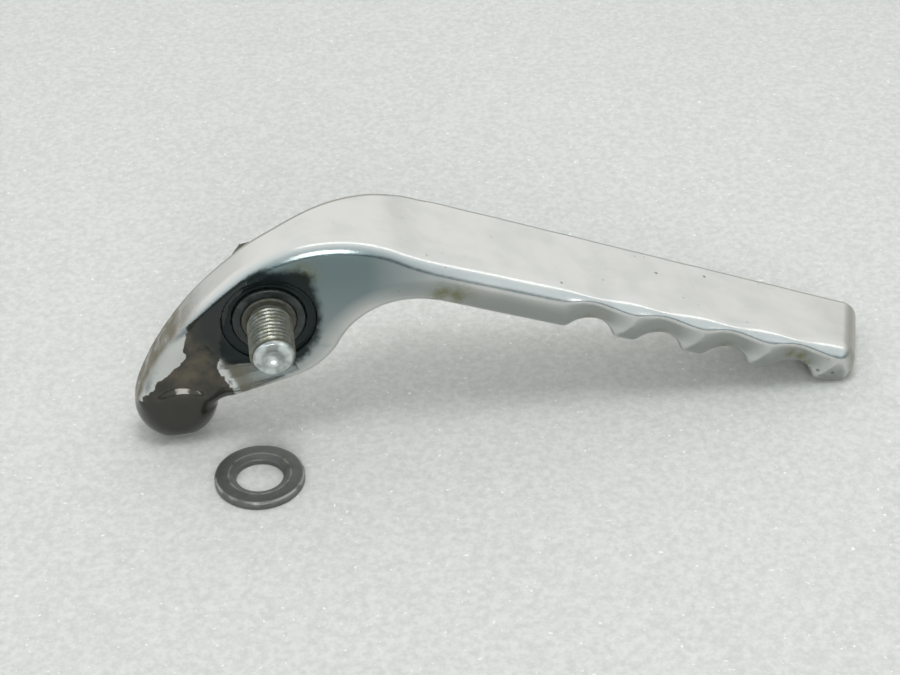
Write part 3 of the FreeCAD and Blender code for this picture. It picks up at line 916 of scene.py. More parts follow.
@dataclass(frozen=True)
class Wear:
    """Painted reflection and painted shade, stains, oil and grease of the casting: places in millimetres, and
    parts of outward directions.
    """

    # Painted reflection of the dark room: where it lies on the hub and on the bar.
    hub_facing: Fade = Fade(0.62, 0.3)
    hub_left: Fade = Fade(-17.0, 5.0)
    turned_weight: float = 0.9
    shade_share: float = 0.14
    shade_height: float = 10.0
    stop_middle: float = 5.0
    stop_half: float = 7.0
    stop_inset: float = 0.5
    stop_clear: Fade = Fade(1.0, 0.6)
    bar_start: Fade = Fade(22.0, 24.0)
    bar_facing: Fade = Fade(0.8, 0.15)
    bevel_facing: Fade = Fade(1.01, 0.06)
    bar_painted_reflection: float = 0.04
    bevel_painted_reflection: float = 0.58
    # Painted shade: its shares on the bevel, the tip's end face and the rear edge.
    bevel_painted_shade: float = 0.38
    tip_facing: Fade = Fade(0.3, 0.4)
    tip_start: Fade = Fade(126.0, 6.0)
    tip_painted_shade: float = 0.9
    rear_facing: Fade = Fade(0.06, 0.15)
    rear_level: Fade = Fade(0.4, 0.2)
    rear_painted_shade: float = 0.95
    edge_heights: Numbers = (-12.0, 2.0)
    edge_facing: Numbers = (-0.5, 0.82)
    edge_reach: float = 14.0
    bare_spot: Numbers = (-21.0, 1.8, -31.0)
    bare_stretch: float = 2.2
    bare_radius: float = 1.5
    bare_gain: float = 3.0
    grease_back: float = 3.0
    grease_rim: float = 0.6
    wiped_depth: float = 9.0
    wiped_height: float = -8.5
    wiped_slope: float = 3.4
    wiped_side: Fade = Fade(2.0, -4.0)
    ball_start: Fade = Fade(-14.0, -6.0)
    wall_facing: Fade = Fade(0.68, -0.35)
    wall_start: Fade = Fade(-14.0, -7.0)
    wall_smear: float = 0.95
    scuff_facing: float = 0.8
    scuff_inset: float = 0.3
    scuff_smear: float = 0.8
    scuff_side: Fade = Fade(8.0, -5.0)
    scuff_top: Fade = Fade(-9.0, -3.0)
    stains: tuple = ((41.5, 0.7, 2.3, 2.8), (38.2, 0.7, 3.2, 2.4), (8.0, 0.0, 12.0, 2.6),
                     (119.0, 0.6, -22.0, 1.5), (121.6, 1.0, -23.3, 1.6), (123.2, 2.0, -26.0, 1.4),
                     (103.4, 2.0, -18.6, 1.6), (87.4, 2.0, -13.0, 1.6), (71.2, 2.0, -7.4, 1.6))
    specks: tuple = ((126.4, 1.3, -28.2, 0.7), (129.8, 0.8, -29.0, 0.6), (124.8, 1.8, -27.5, 0.5),
                     (90.2, 16.8, -7.9, 0.5), (102.7, 19.9, -12.3, 0.5), (65.4, 4.0, 0.9, 0.45))

    def painted_reflection_and_shade(self, points: Array, normals: Array, stop: Array) -> dict[str, Array]:
        """Return the painted reflection and painted shade on the bare metal.

        The front tint is a painted reflection of the dark room. On the hub it follows how far the skin faces
        forwards, fades lower down, and stops where it turns down or to the right and along the stop edge. On
        the bar it lies on the bevel. The end tint is painted shade on the tip, on the rear edge and on the
        bevel.

        Args:
            points: places on the skin.
            normals: outward directions.
            stop: places along the stop edge and to the left of it.

        Returns:
            Shares from 0 to 1 by name.
        """
        x, _, z = points.T
        aside, behind, level = normals.T
        ahead = -behind
        turned = np.minimum(level - np.maximum(aside, 0.0), 0.0)
        shade = 1.0 - self.shade_share * (1.0 - np.clip(z / self.shade_height, -1.0, 1.0))
        clear = np.where(np.abs(stop.real - self.stop_middle) < self.stop_half,
                         self.stop_clear.at(np.abs(stop.imag + self.stop_inset)), 1.0)
        hub = self.hub_facing.at(ahead + self.turned_weight * turned) * shade * self.hub_left.at(x) * clear
        bar = self.bar_start.at(x)
        band = bar * self.bar_facing.at(ahead)
        bevel = self.bevel_facing.at(ahead - 0.5 * level)
        # Painted reflection on the hub face and the bar's bevel.
        front = hub * (1.0 - bar) + band * (self.bar_painted_reflection + self.bevel_painted_reflection * bevel)
        # Painted shade on the tip's end face, the rear edge and the bevel.
        ends = (self.tip_painted_shade * self.tip_facing.at(aside) * self.tip_start.at(x),
                self.rear_painted_shade * self.rear_facing.at(behind) * self.rear_level.at(level),
                self.bevel_painted_shade * band * bevel)
        return {"front": front, "end": np.maximum.reduce(ends)}

    def dirt(self, points: Array, normals: Array, stop: Array, recess: float) -> dict[str, Array]:
        """Return where oil and grease lie.

        Film and grease are distances in millimetres into their areas. They wrap round the tail, and
        higher up they end where the face turns over its edge. A bare spot is worn through the film under
        the ball. The smear is the tail's dull outer wall and the scuffed patch beside the stop edge.

        Args:
            points: places on the skin.
            normals: outward directions.
            stop: places along the stop edge and to the left of it.
            recess: radius of the hub's recess.

        Returns:
            Distances and shares by name.
        """
        x, y, z = points.T
        ahead = -normals[:, 1]
        edge = (ahead - np.interp(z, self.edge_heights, self.edge_facing)) * self.edge_reach
        off_x, off_y, off_z = (points - np.array(self.bare_spot)).T
        spot = np.hypot(off_x / self.bare_stretch, np.hypot(off_y, off_z))
        bare = (spot - self.bare_radius) * self.bare_gain
        film = np.minimum(np.minimum(FILM.depth(x + 1j * z), edge), bare)
        inward = self.grease_back - y
        inward = np.where(np.hypot(x, z) > recess + self.grease_rim, np.minimum(edge, inward), inward)
        below = np.clip(self.wiped_height - z, 0.0, self.wiped_depth)
        wiped = self.wiped_depth - below * self.wiped_side.at(x) * self.wiped_slope
        grease = np.minimum(np.minimum(GREASE.depth(x + 1j * z), inward), wiped)
        wall = np.minimum(self.wall_facing.at(ahead), self.wall_smear) * self.wall_start.at(x)
        scuff = np.clip(stop.imag - self.scuff_inset, 0.0, self.scuff_smear) * self.scuff_side.at(stop.imag)
        scuff = scuff * self.scuff_top.at(z) * (ahead > self.scuff_facing)
        return {"film": film, "grease": grease, "ball": self.ball_start.at(z), "smear": np.maximum(wall, scuff)}

    @staticmethod
    def spots(points: Array, spots: tuple) -> Array:
        """Return the share of soft round spots, bell curves given by their places and spreads.

        Args:
            points: places on the skin.
            spots: place and spread of each spot.

        Returns:
            Shares from 0 to 1.
        """
        share = np.zeros(len(points))
        for *place, spread in spots:
            away = ((points - np.array(place)) ** 2).sum(axis=1) / spread ** 2
            share = np.maximum(share, np.exp(-away))
        return share

    def marks(self, points: Array, normals: Array, stop: Array, recess: float) -> dict[str, Array]:
        """Return all numbers that the finish reads at the points, by name."""
        return {**self.painted_reflection_and_shade(points, normals, stop), **self.dirt(points, normals, stop, recess),
                "stain": self.spots(points, self.stains), "speck": self.spots(points, self.specks)}


def round_meet(first: Array, second: Array, radius: Union[float, Array]) -> Array:
    """Return the common part of two solids with a round along their edge.

    Both are depths below a surface. Where both are under the radius, the new depth is the radius less
    the length of the two shortfalls, which is a circle about the edge's inner corner.
    """
    shortfall = np.hypot(np.maximum(radius - first, 0.0), np.maximum(radius - second, 0.0))
    return np.maximum(radius, np.minimum(first, second)) - shortfall


@dataclass
class Casting:
    """Cast lever: hub, tail, crown and grooved bar as one smooth skin, sizes in millimetres."""

    hub_radius: float = 17.4
    hub_thickness: float = 13.0
    tail: complex = -21.8 - 23.4j
    tail_radius: float = 9.4
    web_angle: float = 16.0
    notch_radius: float = 3.0
    crown: complex = -5.9 + 12.2j
    crown_radius: float = 33.0
    root: complex = 32.4 + 12.6j
    root_radius: float = 60.0
    reach: float = 134.8
    land_length: float = 4.8
    tip_height: float = 9.2
    bar_depth: float = 10.45
    land_radius: float = 6.0
    underarm_radius: float = 18.0
    groove_count: int = 4
    groove_first: float = 10.7
    groove_pitch: float = 17.1
    groove_radius: float = 6.2
    groove_depth: float = 3.7
    rim_radius: float = 2.6
    waist_x: float = 1.5
    grip_x: float = 33.0
    grip_width: float = 29.2
    tip_width: float = 23.6
    tip_skew: float = 8.0
    tip_round: float = 3.4
    waist_bend: float = 4.0
    grip_bend: float = 2.0
    bore_radius: float = 8.0
    recess_radius: float = 10.4
    recess_depth: float = 1.0
    seat_radius: float = 12.0
    machined_round: float = 0.35
    stop_top: complex = -11.0 - 11.5j
    stop_foot: complex = -6.13 - 23.55j
    stop_width: float = 14.0
    stop_slope: float = 1.5
    stop_rise: float = 1.5
    stop_run: float = 2.5
    stop_round: float = 0.8
    bevel_slope: float = 0.36
    bevel_round: float = 1.0
    top_dip: float = 0.5
    dip_spread: float = 4.6
    least_round: float = 1.2
    lip: Fade = Fade(2.0, 3.0)
    ball: complex = -20.6 - 25.0j
    ball_step: float = 0.95
    ball_edge: Fade = Fade(6.6, 2.2)
    ball_above: Fade = Fade(0.62, 1.0 / 3.0)
    neck_top: Fade = Fade(-2.0, -9.0)
    wave: float = 0.04
    wave_sink: float = 1.3
    cell: float = 0.5
    probe: float = 0.04
    box_low: Numbers = (-33.0, -1.0, -34.5)
    box_high: Numbers = (145.0, 30.5, 20.0)
    settle_rounds: int = 4
    wear: Wear = Wear()
    finish: PolishedCasting = PolishedCasting()

    def outline(self) -> Outline:
        """Return the front view.

        The curve down the back is the circle that leaves the crown's circle and joins the tail's circle
        without a kink. Its radius follows from the two circles' places.

        Returns:
            The closed outline.
        """
        land, fall = self.underside()
        top_way = self.root - complex(self.reach, FLOOR_Z + self.tip_height)
        top_way /= abs(top_way)
        chord = self.crown - self.root
        lift = math.sqrt(self.crown_radius ** 2 - (abs(chord) / 2.0) ** 2)
        crown_centre = (self.crown + self.root) / 2.0 + 1j * chord / abs(chord) * lift
        inward = (crown_centre - self.crown) / self.crown_radius
        offset = self.crown - self.tail
        along = (offset * inward.conjugate()).real
        back_radius = (self.tail_radius ** 2 - abs(offset) ** 2) / 2.0 / (along + self.tail_radius)
        back_centre = self.crown + inward * back_radius
        tail_back = back_centre + (self.tail - back_centre) / abs(self.tail - back_centre) * back_radius
        web_way = np.exp(1j * math.radians(self.web_angle)).item()
        web = Straight(-1j * web_way * self.hub_radius, web_way)
        tail = Round(self.tail, self.tail_radius)
        hub = Round(0j, self.hub_radius)
        under = Straight(land, fall)
        beyond = self.reach + 2.0 * self.tip_skew
        end = Straight(complex(beyond, FLOOR_Z), 1j)
        top = Straight(self.root, top_way)
        walk = [
            (Round(crown_centre, self.crown_radius), Zone.CROWN, Joint(self.crown)),
            (Round(back_centre, back_radius), Zone.BACK, Joint(tail_back)),
            (tail, Zone.TAIL, Joint(meet(tail, web, 0j), self.notch_radius, True)),
            (web, Zone.WEB, Joint(web.point)),
            (hub, Zone.HUB, Joint(meet(hub, under, self.hub_radius + 0j), self.underarm_radius, True)),
        ]
        outset = self.groove_radius - self.groove_depth
        half = math.sqrt(self.groove_radius ** 2 - outset ** 2)
        for number in reversed(range(self.groove_count)):
            middle = land - fall * (self.groove_first + number * self.groove_pitch)
            groove = Round(middle - 1j * fall * outset, self.groove_radius, -1)
            walk.append((under, Zone.UNDERSIDE, Joint(middle - fall * half, self.rim_radius)))
            walk.append((groove, Zone.GROOVE, Joint(middle + fall * half, self.rim_radius)))
        walk += [
            (under, Zone.UNDERSIDE, Joint(land, self.land_radius)),
            (Straight(land, 1 + 0j), Zone.LAND, Joint(end.point)),
            (end, Zone.LAND, Joint(meet(end, top, 0j))),
            (top, Zone.TOP, Joint(self.root, self.root_radius, True)),
        ]
        return Outline.through(walk)

    def underside(self) -> tuple[complex, complex]:
        """Find the straight line under the bar.

        Returns:
            Start of the tip's land, and the unit way along the underside down to it.
        """
        land = self.reach - self.land_length + FLOOR_Z * 1j
        rise = complex(self.root.real, self.root.imag - self.bar_depth) - land
        return land, rise / -abs(rise)

    def over_groove(self, x: Array) -> Array:
        """Return 1 above the middle of a finger groove, falling to 0 between them, as a sum of bell curves.

        Args:
            x: places along the bar.

        Returns:
            Shares from 0 to 1.
        """
        land, fall = self.underside()
        middles = land.real - fall.real * (self.groove_first + self.groove_pitch * np.arange(self.groove_count))
        return sum(np.exp(-((x - middle) / self.dip_spread) ** 2) for middle in middles)

    def back(self, x: Array) -> Array:
        """Return how far back the casting reaches: flat hub, flare to the grip, slow taper to the tip.

        The two bends are hyperbolas, half of u plus the root of u squared and the bend squared.

        Args:
            x: places along the bar.

        Returns:
            Depths behind the front face.
        """
        flare = (self.grip_width - self.hub_thickness) / (self.grip_x - self.waist_x)
        taper = (self.tip_width - self.grip_width) / (self.reach + self.tip_skew - self.grip_x)
        depth = np.full(np.shape(x), self.hub_thickness)
        bends = ((self.waist_x, flare, self.waist_bend), (self.grip_x, taper - flare, self.grip_bend))
        for place, change, bend in bends:
            ahead = x - place
            depth = depth + change * 0.5 * (ahead + np.hypot(ahead, bend))
        return depth

    def solid(self, x: Array, y: Array, z: Array, outline: Outline) -> Array:
        """Return the depth below the casting's skin, above zero inside.

        Args:
            x: places along the bar.
            y: places from front to back.
            z: heights.
            outline: the front view.

        Returns:
            Depth in millimetres.
        """
        wall, beyond, (front, rear) = outline.measure(x + 1j * z)
        face = y - self.neck(x, z)
        front = np.maximum(front * (1.0 - self.top_dip * self.over_groove(x)), self.least_round)
        slant = (face + self.bevel_slope * beyond) / math.hypot(1.0, self.bevel_slope)
        depth = round_meet(round_meet(face, wall, front), slant, self.bevel_round)
        depth = round_meet(depth, self.back(x) - y, rear)
        skew = self.tip_skew / self.tip_width
        end = (self.reach + skew * y - x) / math.hypot(1.0, skew)
        depth = round_meet(depth, end, self.tip_round)
        depth = depth - self.wave * (self.wave_sink + self.ripple(x, y, z))
        rho = np.hypot(x, z)
        cuts = (
            (np.maximum(rho - self.recess_radius, y - self.recess_depth), self.machined_round),
            (self.beside_stop(x, y, z, wall), self.stop_round),
            (np.maximum(rho - self.seat_radius, self.hub_thickness - y), self.machined_round),
            (rho - self.bore_radius, self.machined_round),
        )
        for cut, edge in cuts:
            depth = round_meet(depth, cut, edge)
        return depth

    def ripple(self, x: Array, y: Array, z: Array) -> Array:
        """Return the unevenness of hand polish from -1 to 1, a product of two slanting sine waves."""
        return np.sin(0.19 * x + 0.13 * z) * np.sin(0.15 * x - 0.29 * z + 1.3 + 0.2 * y)

    def neck(self, x: Array, z: Array) -> Array:
        """Return how far the tail's neck stands back, so that the ball end has a shoulder above it.

        The step is a smooth one across a circle about the ball. It counts above the ball only and fades
        out towards the hub.

        Args:
            x: places along the bar.
            z: heights.

        Returns:
            Depths behind the front face.
        """
        ball = x + 1j * z - self.ball
        reach = np.abs(ball)
        shares = (
            self.ball_edge.at(reach),
            self.ball_above.at(ball.imag / np.maximum(reach, 0.1)),
            self.neck_top.at(z),
        )
        depth = self.ball_step
        for share in shares:
            depth = depth * share * share * (3.0 - 2.0 * share)
        return depth

    def at_stop(self, x: Array, z: Array) -> Array:
        """Return places as complex numbers: along the stop edge from its top, and to the left of it."""
        way = self.stop_foot - self.stop_top
        return (x + 1j * z - self.stop_top) * np.conj(way / abs(way))

    def beside_stop(self, x: Array, y: Array, z: Array, wall: Array) -> Array:
        """Return the distance outside the faced patch beside the tail's stop edge.

        The patch is deepest along the stop edge, whose wall slopes outwards. Its floor rises to the face
        towards the lip under it and towards the hub above it.

        Args:
            x: places along the bar.
            y: places from front to back.
            z: heights.
            wall: depth inside the outline.

        Returns:
            Distances, below zero inside the patch.
        """
        local = self.at_stop(x, z)
        below = Fade(self.stop_top.imag + self.stop_rise, -self.stop_run)
        deep = self.recess_depth * self.lip.at(wall) * below.at(z)
        slope = (-local.imag - self.stop_slope * (deep - y)) / math.hypot(1.0, self.stop_slope)
        return np.maximum(np.maximum(slope, local.imag - self.stop_width), y - deep)

    def settle(self, points: Array, outline: Outline, rounds: int) -> tuple[Array, Array]:
        """Move points on to the skin and return them with the outward directions there.

        The slope comes from four samples at the corners of a small tetrahedron. Each round takes one
        Newton step along it.

        Args:
            points: places near the skin.
            outline: the front view.
            rounds: number of steps.

        Returns:
            Points and outward unit directions.
        """
        corners = np.array([(1, 1, 1), (1, -1, -1), (-1, 1, -1), (-1, -1, 1)], dtype=float)
        least_slope = 0.05
        for turn in range(rounds + 1):
            samples = np.stack([self.solid(*(points + self.probe * corner).T, outline) for corner in corners])
            slope = np.einsum("cn,ck->nk", samples, corners) / (4.0 * self.probe)
            size = np.maximum((slope ** 2).sum(axis=1), least_slope)
            if turn < rounds:
                move = np.clip(samples.mean(axis=0) / size, -self.cell, self.cell)
                points = points - slope * move[:, None]
        return points, -slope / np.linalg.norm(slope, axis=1)[:, None]

    def build(self) -> bpy.types.Object:
        """Mesh the skin, dress it and put it in the handle's place.

        Returns:
            The casting.
        """
        outline = self.outline()
        low = np.array(self.box_low)
        x, y, z = (np.arange(start, stop, self.cell) for start, stop in zip(low, self.box_high))
        values = self.solid(x[:, None, None], y[None, :, None], z[None, None, :], outline)
        points, quads = surface_net(values, low, self.cell)
        points, normals = self.settle(points, outline, self.settle_rounds)
        stop = self.at_stop(points[:, 0], points[:, 2])
        marks = self.wear.marks(points, normals, stop, self.recess_radius)
        made = new_piece("handle_casting", points, quads.tolist(), self.finish, normals, marks)
        return dress(made, "handle", Body.LEVER)


def dress(made: bpy.types.Object, node: str, body: Body) -> bpy.types.Object:
    """Let a piece stand for a node of the frame and ride on a body.

    Args:
        made: the piece.
        node: the node that it replaces.
        body: the body that it rides on.

    Returns:
        The piece.
    """
    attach(made, body.value)
    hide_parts(node)
    log.info("%s: %d points", made.name, len(made.data.vertices))
    return made


@dataclass
class Bolt:
    """Shoulder bolt: centred and bevelled end, thread with a torn spot, neck, shoulder and hexagon head."""

    end_y: float = -13.5
    centre_radius: float = 2.3
    centre_depth: float = 1.1
    face_radius: float = 4.0
    thread_radius: float = 5.0
    root_radius: float = 4.25
    pitch: float = 1.25
    thread_stop: float = -1.2
    shoulder_radius: float = 6.0
    flange_radius: float = 10.0
    head_y: float = 13.2
    head_height: float = 6.4
    head_across: float = 17.0
    head_bevel: float = 1.0
    deepest_cut: float = 0.85
    crest_gain: float = 1.35
    crest_cut: float = 0.15
    run_in: float = 0.3
    run_in_length: float = 1.4
    run_in_least: float = 0.25
    run_in_depth: float = 0.5
    torn_y: float = -9.4
    torn_length: float = 1.3
    torn_turn: float = 0.03
    torn_width: float = 0.055
    torn_depth: float = 0.9
    root_grime: Fade = Fade(4.75, -0.45)
    hub_grime: Fade = Fade(-2.2, 1.6)
    # Painted shade down the thread's side towards +x.
    side_painted_shade: float = 0.75
    side_width: float = 0.11
    # Darker ring round the end's centre mark.
    centre_ring_darkening: float = 0.55
    centre_width: float = 0.5
    bright_length: float = 0.7
    columns: int = 96
    finish: WornZinc = WornZinc()

    def profile(self) -> tuple[Array, Array, Array]:
        """List the rows of the turned shape from the end to the head.

        Returns:
            Places along the axis, radii, and thread and head shares, one row each.
        """
        head_top = self.head_y + self.head_height
        thread = np.arange(self.end_y + 1.0, self.thread_stop, self.pitch / 12.0)
        rows = [(self.end_y + self.centre_depth * 0.5, self.centre_radius * 0.5, 0, 0),
                (self.end_y + 0.05, self.centre_radius, 0, 0),
                (self.end_y, self.centre_radius + 0.5, 0, 0),
                (self.end_y, self.face_radius - 0.25, 0, 0),
                (self.end_y + 0.08, self.face_radius, 0, 0),
                (self.end_y + 0.5, self.face_radius + 0.45, 0.3, 0)]
        rows += [(place, self.thread_radius, 1, 0) for place in thread]
        rows += [(self.thread_stop + 0.15, self.root_radius, 0, 0),
                 (-0.3, self.root_radius, 0, 0),
                 (0.0, self.root_radius + 0.3, 0, 0),
                 (0.0, self.shoulder_radius - 0.3, 0, 0),
                 (0.3, self.shoulder_radius, 0, 0),
                 (self.head_y, self.shoulder_radius, 0, 0),
                 (self.head_y, self.flange_radius - 0.3, 0, 0),
                 (self.head_y + 0.3, self.flange_radius, 0, 0),
                 (self.head_y + 0.9, self.flange_radius, 0, 0),
                 (self.head_y + 1.8, self.flange_radius - 0.15, 0, 0),
                 (self.head_y + 1.8, self.head_across / 2.0, 0, 1),
                 (self.head_y + 2.0, self.head_across / 2.0, 0, 1)]
        rows += [(head_top - drop, self.head_across / 2.0, 0, 1) for drop in (1.2, 1.0, 0.7, 0.4, 0.15, 0.0)]
        rows += [(head_top, self.head_across / 2.0 - 1.0, 0, 0)]
        table = np.array(rows, dtype=float)
        return table[:, 0], table[:, 1], table[:, 2:]

    def dirt(self, along: Array, turn: Array, size: Array, threaded: Array) -> tuple[Array, Array]:
        """Return where grime and painted shade lie, and which rows belong to the bolt's bright end.

        Grime lies in the thread's roots and near the hub. Painted shade runs down the thread's side towards +x,
        and the end is darker in a ring round the centre mark.

        Args:
            along: places along the axis, one row each.
            turn: shares of a turn, one column each.
            size: radii of the grid.
            threaded: rows of the thread.

        Returns:
            Share of grime and painted shade, and the rows of the end.
        """
        aside = np.minimum(turn, 1.0 - turn)
        end = np.broadcast_to(along < self.end_y + self.bright_length, size.shape)
        layers = (
            self.root_grime.at(size) * threaded,
            np.broadcast_to(self.hub_grime.at(along), size.shape),
            # Painted shade down the thread's side towards +x.
            self.side_painted_shade * np.exp(-(aside / self.side_width) ** 2) * threaded,
            # Darker ring round the centre mark.
            self.centre_ring_darkening * end * np.exp(-((size - self.centre_radius) / self.centre_width) ** 2),
        )
        return np.maximum.reduce(layers), end

    def thread_cut(self, along: Array, turn: Array) -> Array:
        """Return how deep the thread and its torn spot go below the thread's outside.

        The thread is a triangle wave, whose phase is the place along the axis over the pitch plus the
        share of the turn. It runs in at the end. The torn spot is a bell-shaped dent.

        Args:
            along: places along the axis, one row each.
            turn: shares of a turn, one column each.

        Returns:
            Depths of the grid.
        """
        phase = np.mod(along / self.pitch + turn, 1.0)
        tooth = np.clip(np.abs(2.0 * phase - 1.0) * self.crest_gain - self.crest_cut, 0.0, 1.0)
        run_in = (along - self.end_y - self.run_in) / self.run_in_length
        missing = 1.0 - np.clip(run_in, self.run_in_least, 1.0)
        depth = (self.thread_radius - self.root_radius) * (1.0 - tooth)
        torn = np.exp(-((along - self.torn_y) / self.torn_length) ** 2
                      - ((turn - self.torn_turn) / self.torn_width) ** 2)
        return np.minimum(depth + missing * self.run_in_depth, self.deepest_cut) + self.torn_depth * torn

    def build(self) -> bpy.types.Object:
        """Turn the rows round the axis, cut the thread and the flats, and dress the bolt.

        The head's radius is its half width over the cosine of the angle from the nearest flat, cut by a
        cone at the outer end.

        Returns:
            The bolt.
        """
        along, radius, share = self.profile()
        turn = np.arange(self.columns) / self.columns
        angle = 2.0 * np.pi * turn
        size = radius[:, None] - share[:, :1] * self.thread_cut(along[:, None], turn[None, :])
        flat = self.head_across / 2.0 / np.cos(np.mod(angle, np.pi / 3.0) - np.pi / 6.0)
        top = self.head_y + self.head_height
        spread = 1.0 / math.cos(math.pi / 6.0) - 1.0
        cone = self.head_across / 2.0 * (1.0 + (top - along[:, None]) * spread / self.head_bevel)
        size = np.where(share[:, 1:] > 0.0, np.minimum(flat[None, :], cone), size)
        points = np.stack([size * np.cos(angle), np.broadcast_to(along[:, None], size.shape),
                           size * np.sin(angle)], axis=-1).reshape(-1, 3)
        ends = np.array([(0.0, self.end_y + self.centre_depth, 0.0), (0.0, top, 0.0)])
        rows = len(along)
        count = rows * self.columns
        faces = grid_faces(rows, self.columns, False)
        faces += cap_faces(0, self.columns, count, True)
        faces += cap_faces(count - self.columns, self.columns, count + 1, False)
        grime_and_shade, end = self.dirt(along[:, None], turn[None, :], size, share[:, :1] > 0.5)
        marks = {"grime_and_shade": np.append(grime_and_shade.ravel(), [0.0, 0.5]), "end": np.append(end.ravel(), [1.0, 0.0])}
        made = new_piece("bolt_turned", np.concatenate([points, ends]), faces, self.finish, marks=marks)
        return dress(made, "pivot_bolt", Body.PIVOT)


def turned_ring(section: Array, columns: int) -> tuple[Array, list]:
    """Turn a closed section into a ring.

    Args:
        section: radii and places along the axis, one row each.
        columns: number of steps round the axis.

    Returns:
        Points as radius directions times radius in the first two columns and the axis place in the
        third, and the faces.
    """
    angle = 2.0 * np.pi * np.arange(columns) / columns
    radius, along = section.T
    points = np.stack([radius[:, None] * np.cos(angle), radius[:, None] * np.sin(angle),
                       np.broadcast_to(along[:, None], (len(section), columns))], axis=-1)
    return points.reshape(-1, 3), grid_faces(len(section), columns, True)


def rounded_section(corners: list[tuple[float, float, float]], steps: int = 5) -> Array:
    """Return a closed section with rounded right-angled corners.

    Args:
        corners: radius, axis place and corner round of each corner, counter-clockwise.
        steps: points on each round.

    Returns:
        Radii and axis places.
    """
    table = np.array(corners)
    here = table[:, :2]
    before = np.roll(here, 1, axis=0) - here
    after = np.roll(here, -1, axis=0) - here
    before /= np.linalg.norm(before, axis=1)[:, None]
    after /= np.linalg.norm(after, axis=1)[:, None]
    bend = np.linspace(0.0, np.pi / 2.0, steps)[None, :, None]
    size = table[:, 2, None, None]
    inward = before[:, None, :] * (1.0 - np.sin(bend)) + after[:, None, :] * (1.0 - np.cos(bend))
    return (here[:, None, :] + size * inward).reshape(-1, 2)


@dataclass
class Bush:
    """Steel sleeve pressed into the hub, with a small round on its front rim."""

    inner: float = 6.05
    outer: float = 8.0
    front: float = 0.5
    back: float = 13.0
    edge: float = 0.35
    back_edge: float = 0.05
    columns: int = 96
    finish: GreasySteel = GreasySteel()

    def build(self) -> bpy.types.Object:
        """Turn the sleeve about the pivot and dress it.

        Returns:
            The bush.
        """
        section = rounded_section([(self.inner, -self.back, self.back_edge),
                                   (self.outer, -self.back, self.back_edge),
                                   (self.outer, -self.front, self.edge),
                                   (self.inner, -self.front, self.edge)])
        ring, faces = turned_ring(section, self.columns)
        points = np.stack([ring[:, 0], -ring[:, 2], ring[:, 1]], axis=-1)
        made = new_piece("bush_ring", points, faces, self.finish)
        return dress(made, "pivot_bush", Body.LEVER)


@dataclass
class Washer:
    """Black washer off the bolt, with rounded rims, lying on the floor."""

    centre: Numbers = (-4.8, -13.9)
    hole: float = 5.25
    outer: float = 10.0
    thickness: float = 2.0
    rim: float = 0.7
    bevel: float = 6.9
    bevel_depth: float = 0.6
    foot_hole: float = 0.3
    foot_rim: float = 0.4
    bevel_edge: float = 0.3
    hole_edge: float = 0.25
    edge_steps: int = 7
    rub_inset: float = 0.25
    rub_width: float = 0.22
    columns: int = 128
    finish: BlackOxide = BlackOxide()

    def build(self) -> bpy.types.Object:
        """Turn the washer on the floor and dress it.

        Returns:
            The washer.
        """
        corners = [(self.hole, 0.0, self.foot_hole), (self.outer, 0.0, self.foot_rim),
                   (self.outer, self.thickness, self.rim), (self.bevel, self.thickness, self.bevel_edge),
                   (self.hole, self.thickness - self.bevel_depth, self.hole_edge)]
        section = rounded_section(corners, self.edge_steps)
        ring, faces = turned_ring(section, self.columns)
        reach = np.hypot(ring[:, 0], ring[:, 1])
        rims = (np.exp(-((reach - rim) / self.rub_width) ** 2)
                for rim in (self.outer - self.rub_inset, self.bevel))
        edge = np.maximum(*rims) * (ring[:, 2] > self.thickness / 2.0)
        points = ring + np.array([self.centre[0], self.centre[1], FLOOR_Z])
        made = new_piece("washer_ring", points, faces, self.finish, marks={"edge": edge})
        return dress(made, "thrust_washer", Body.LEVER)


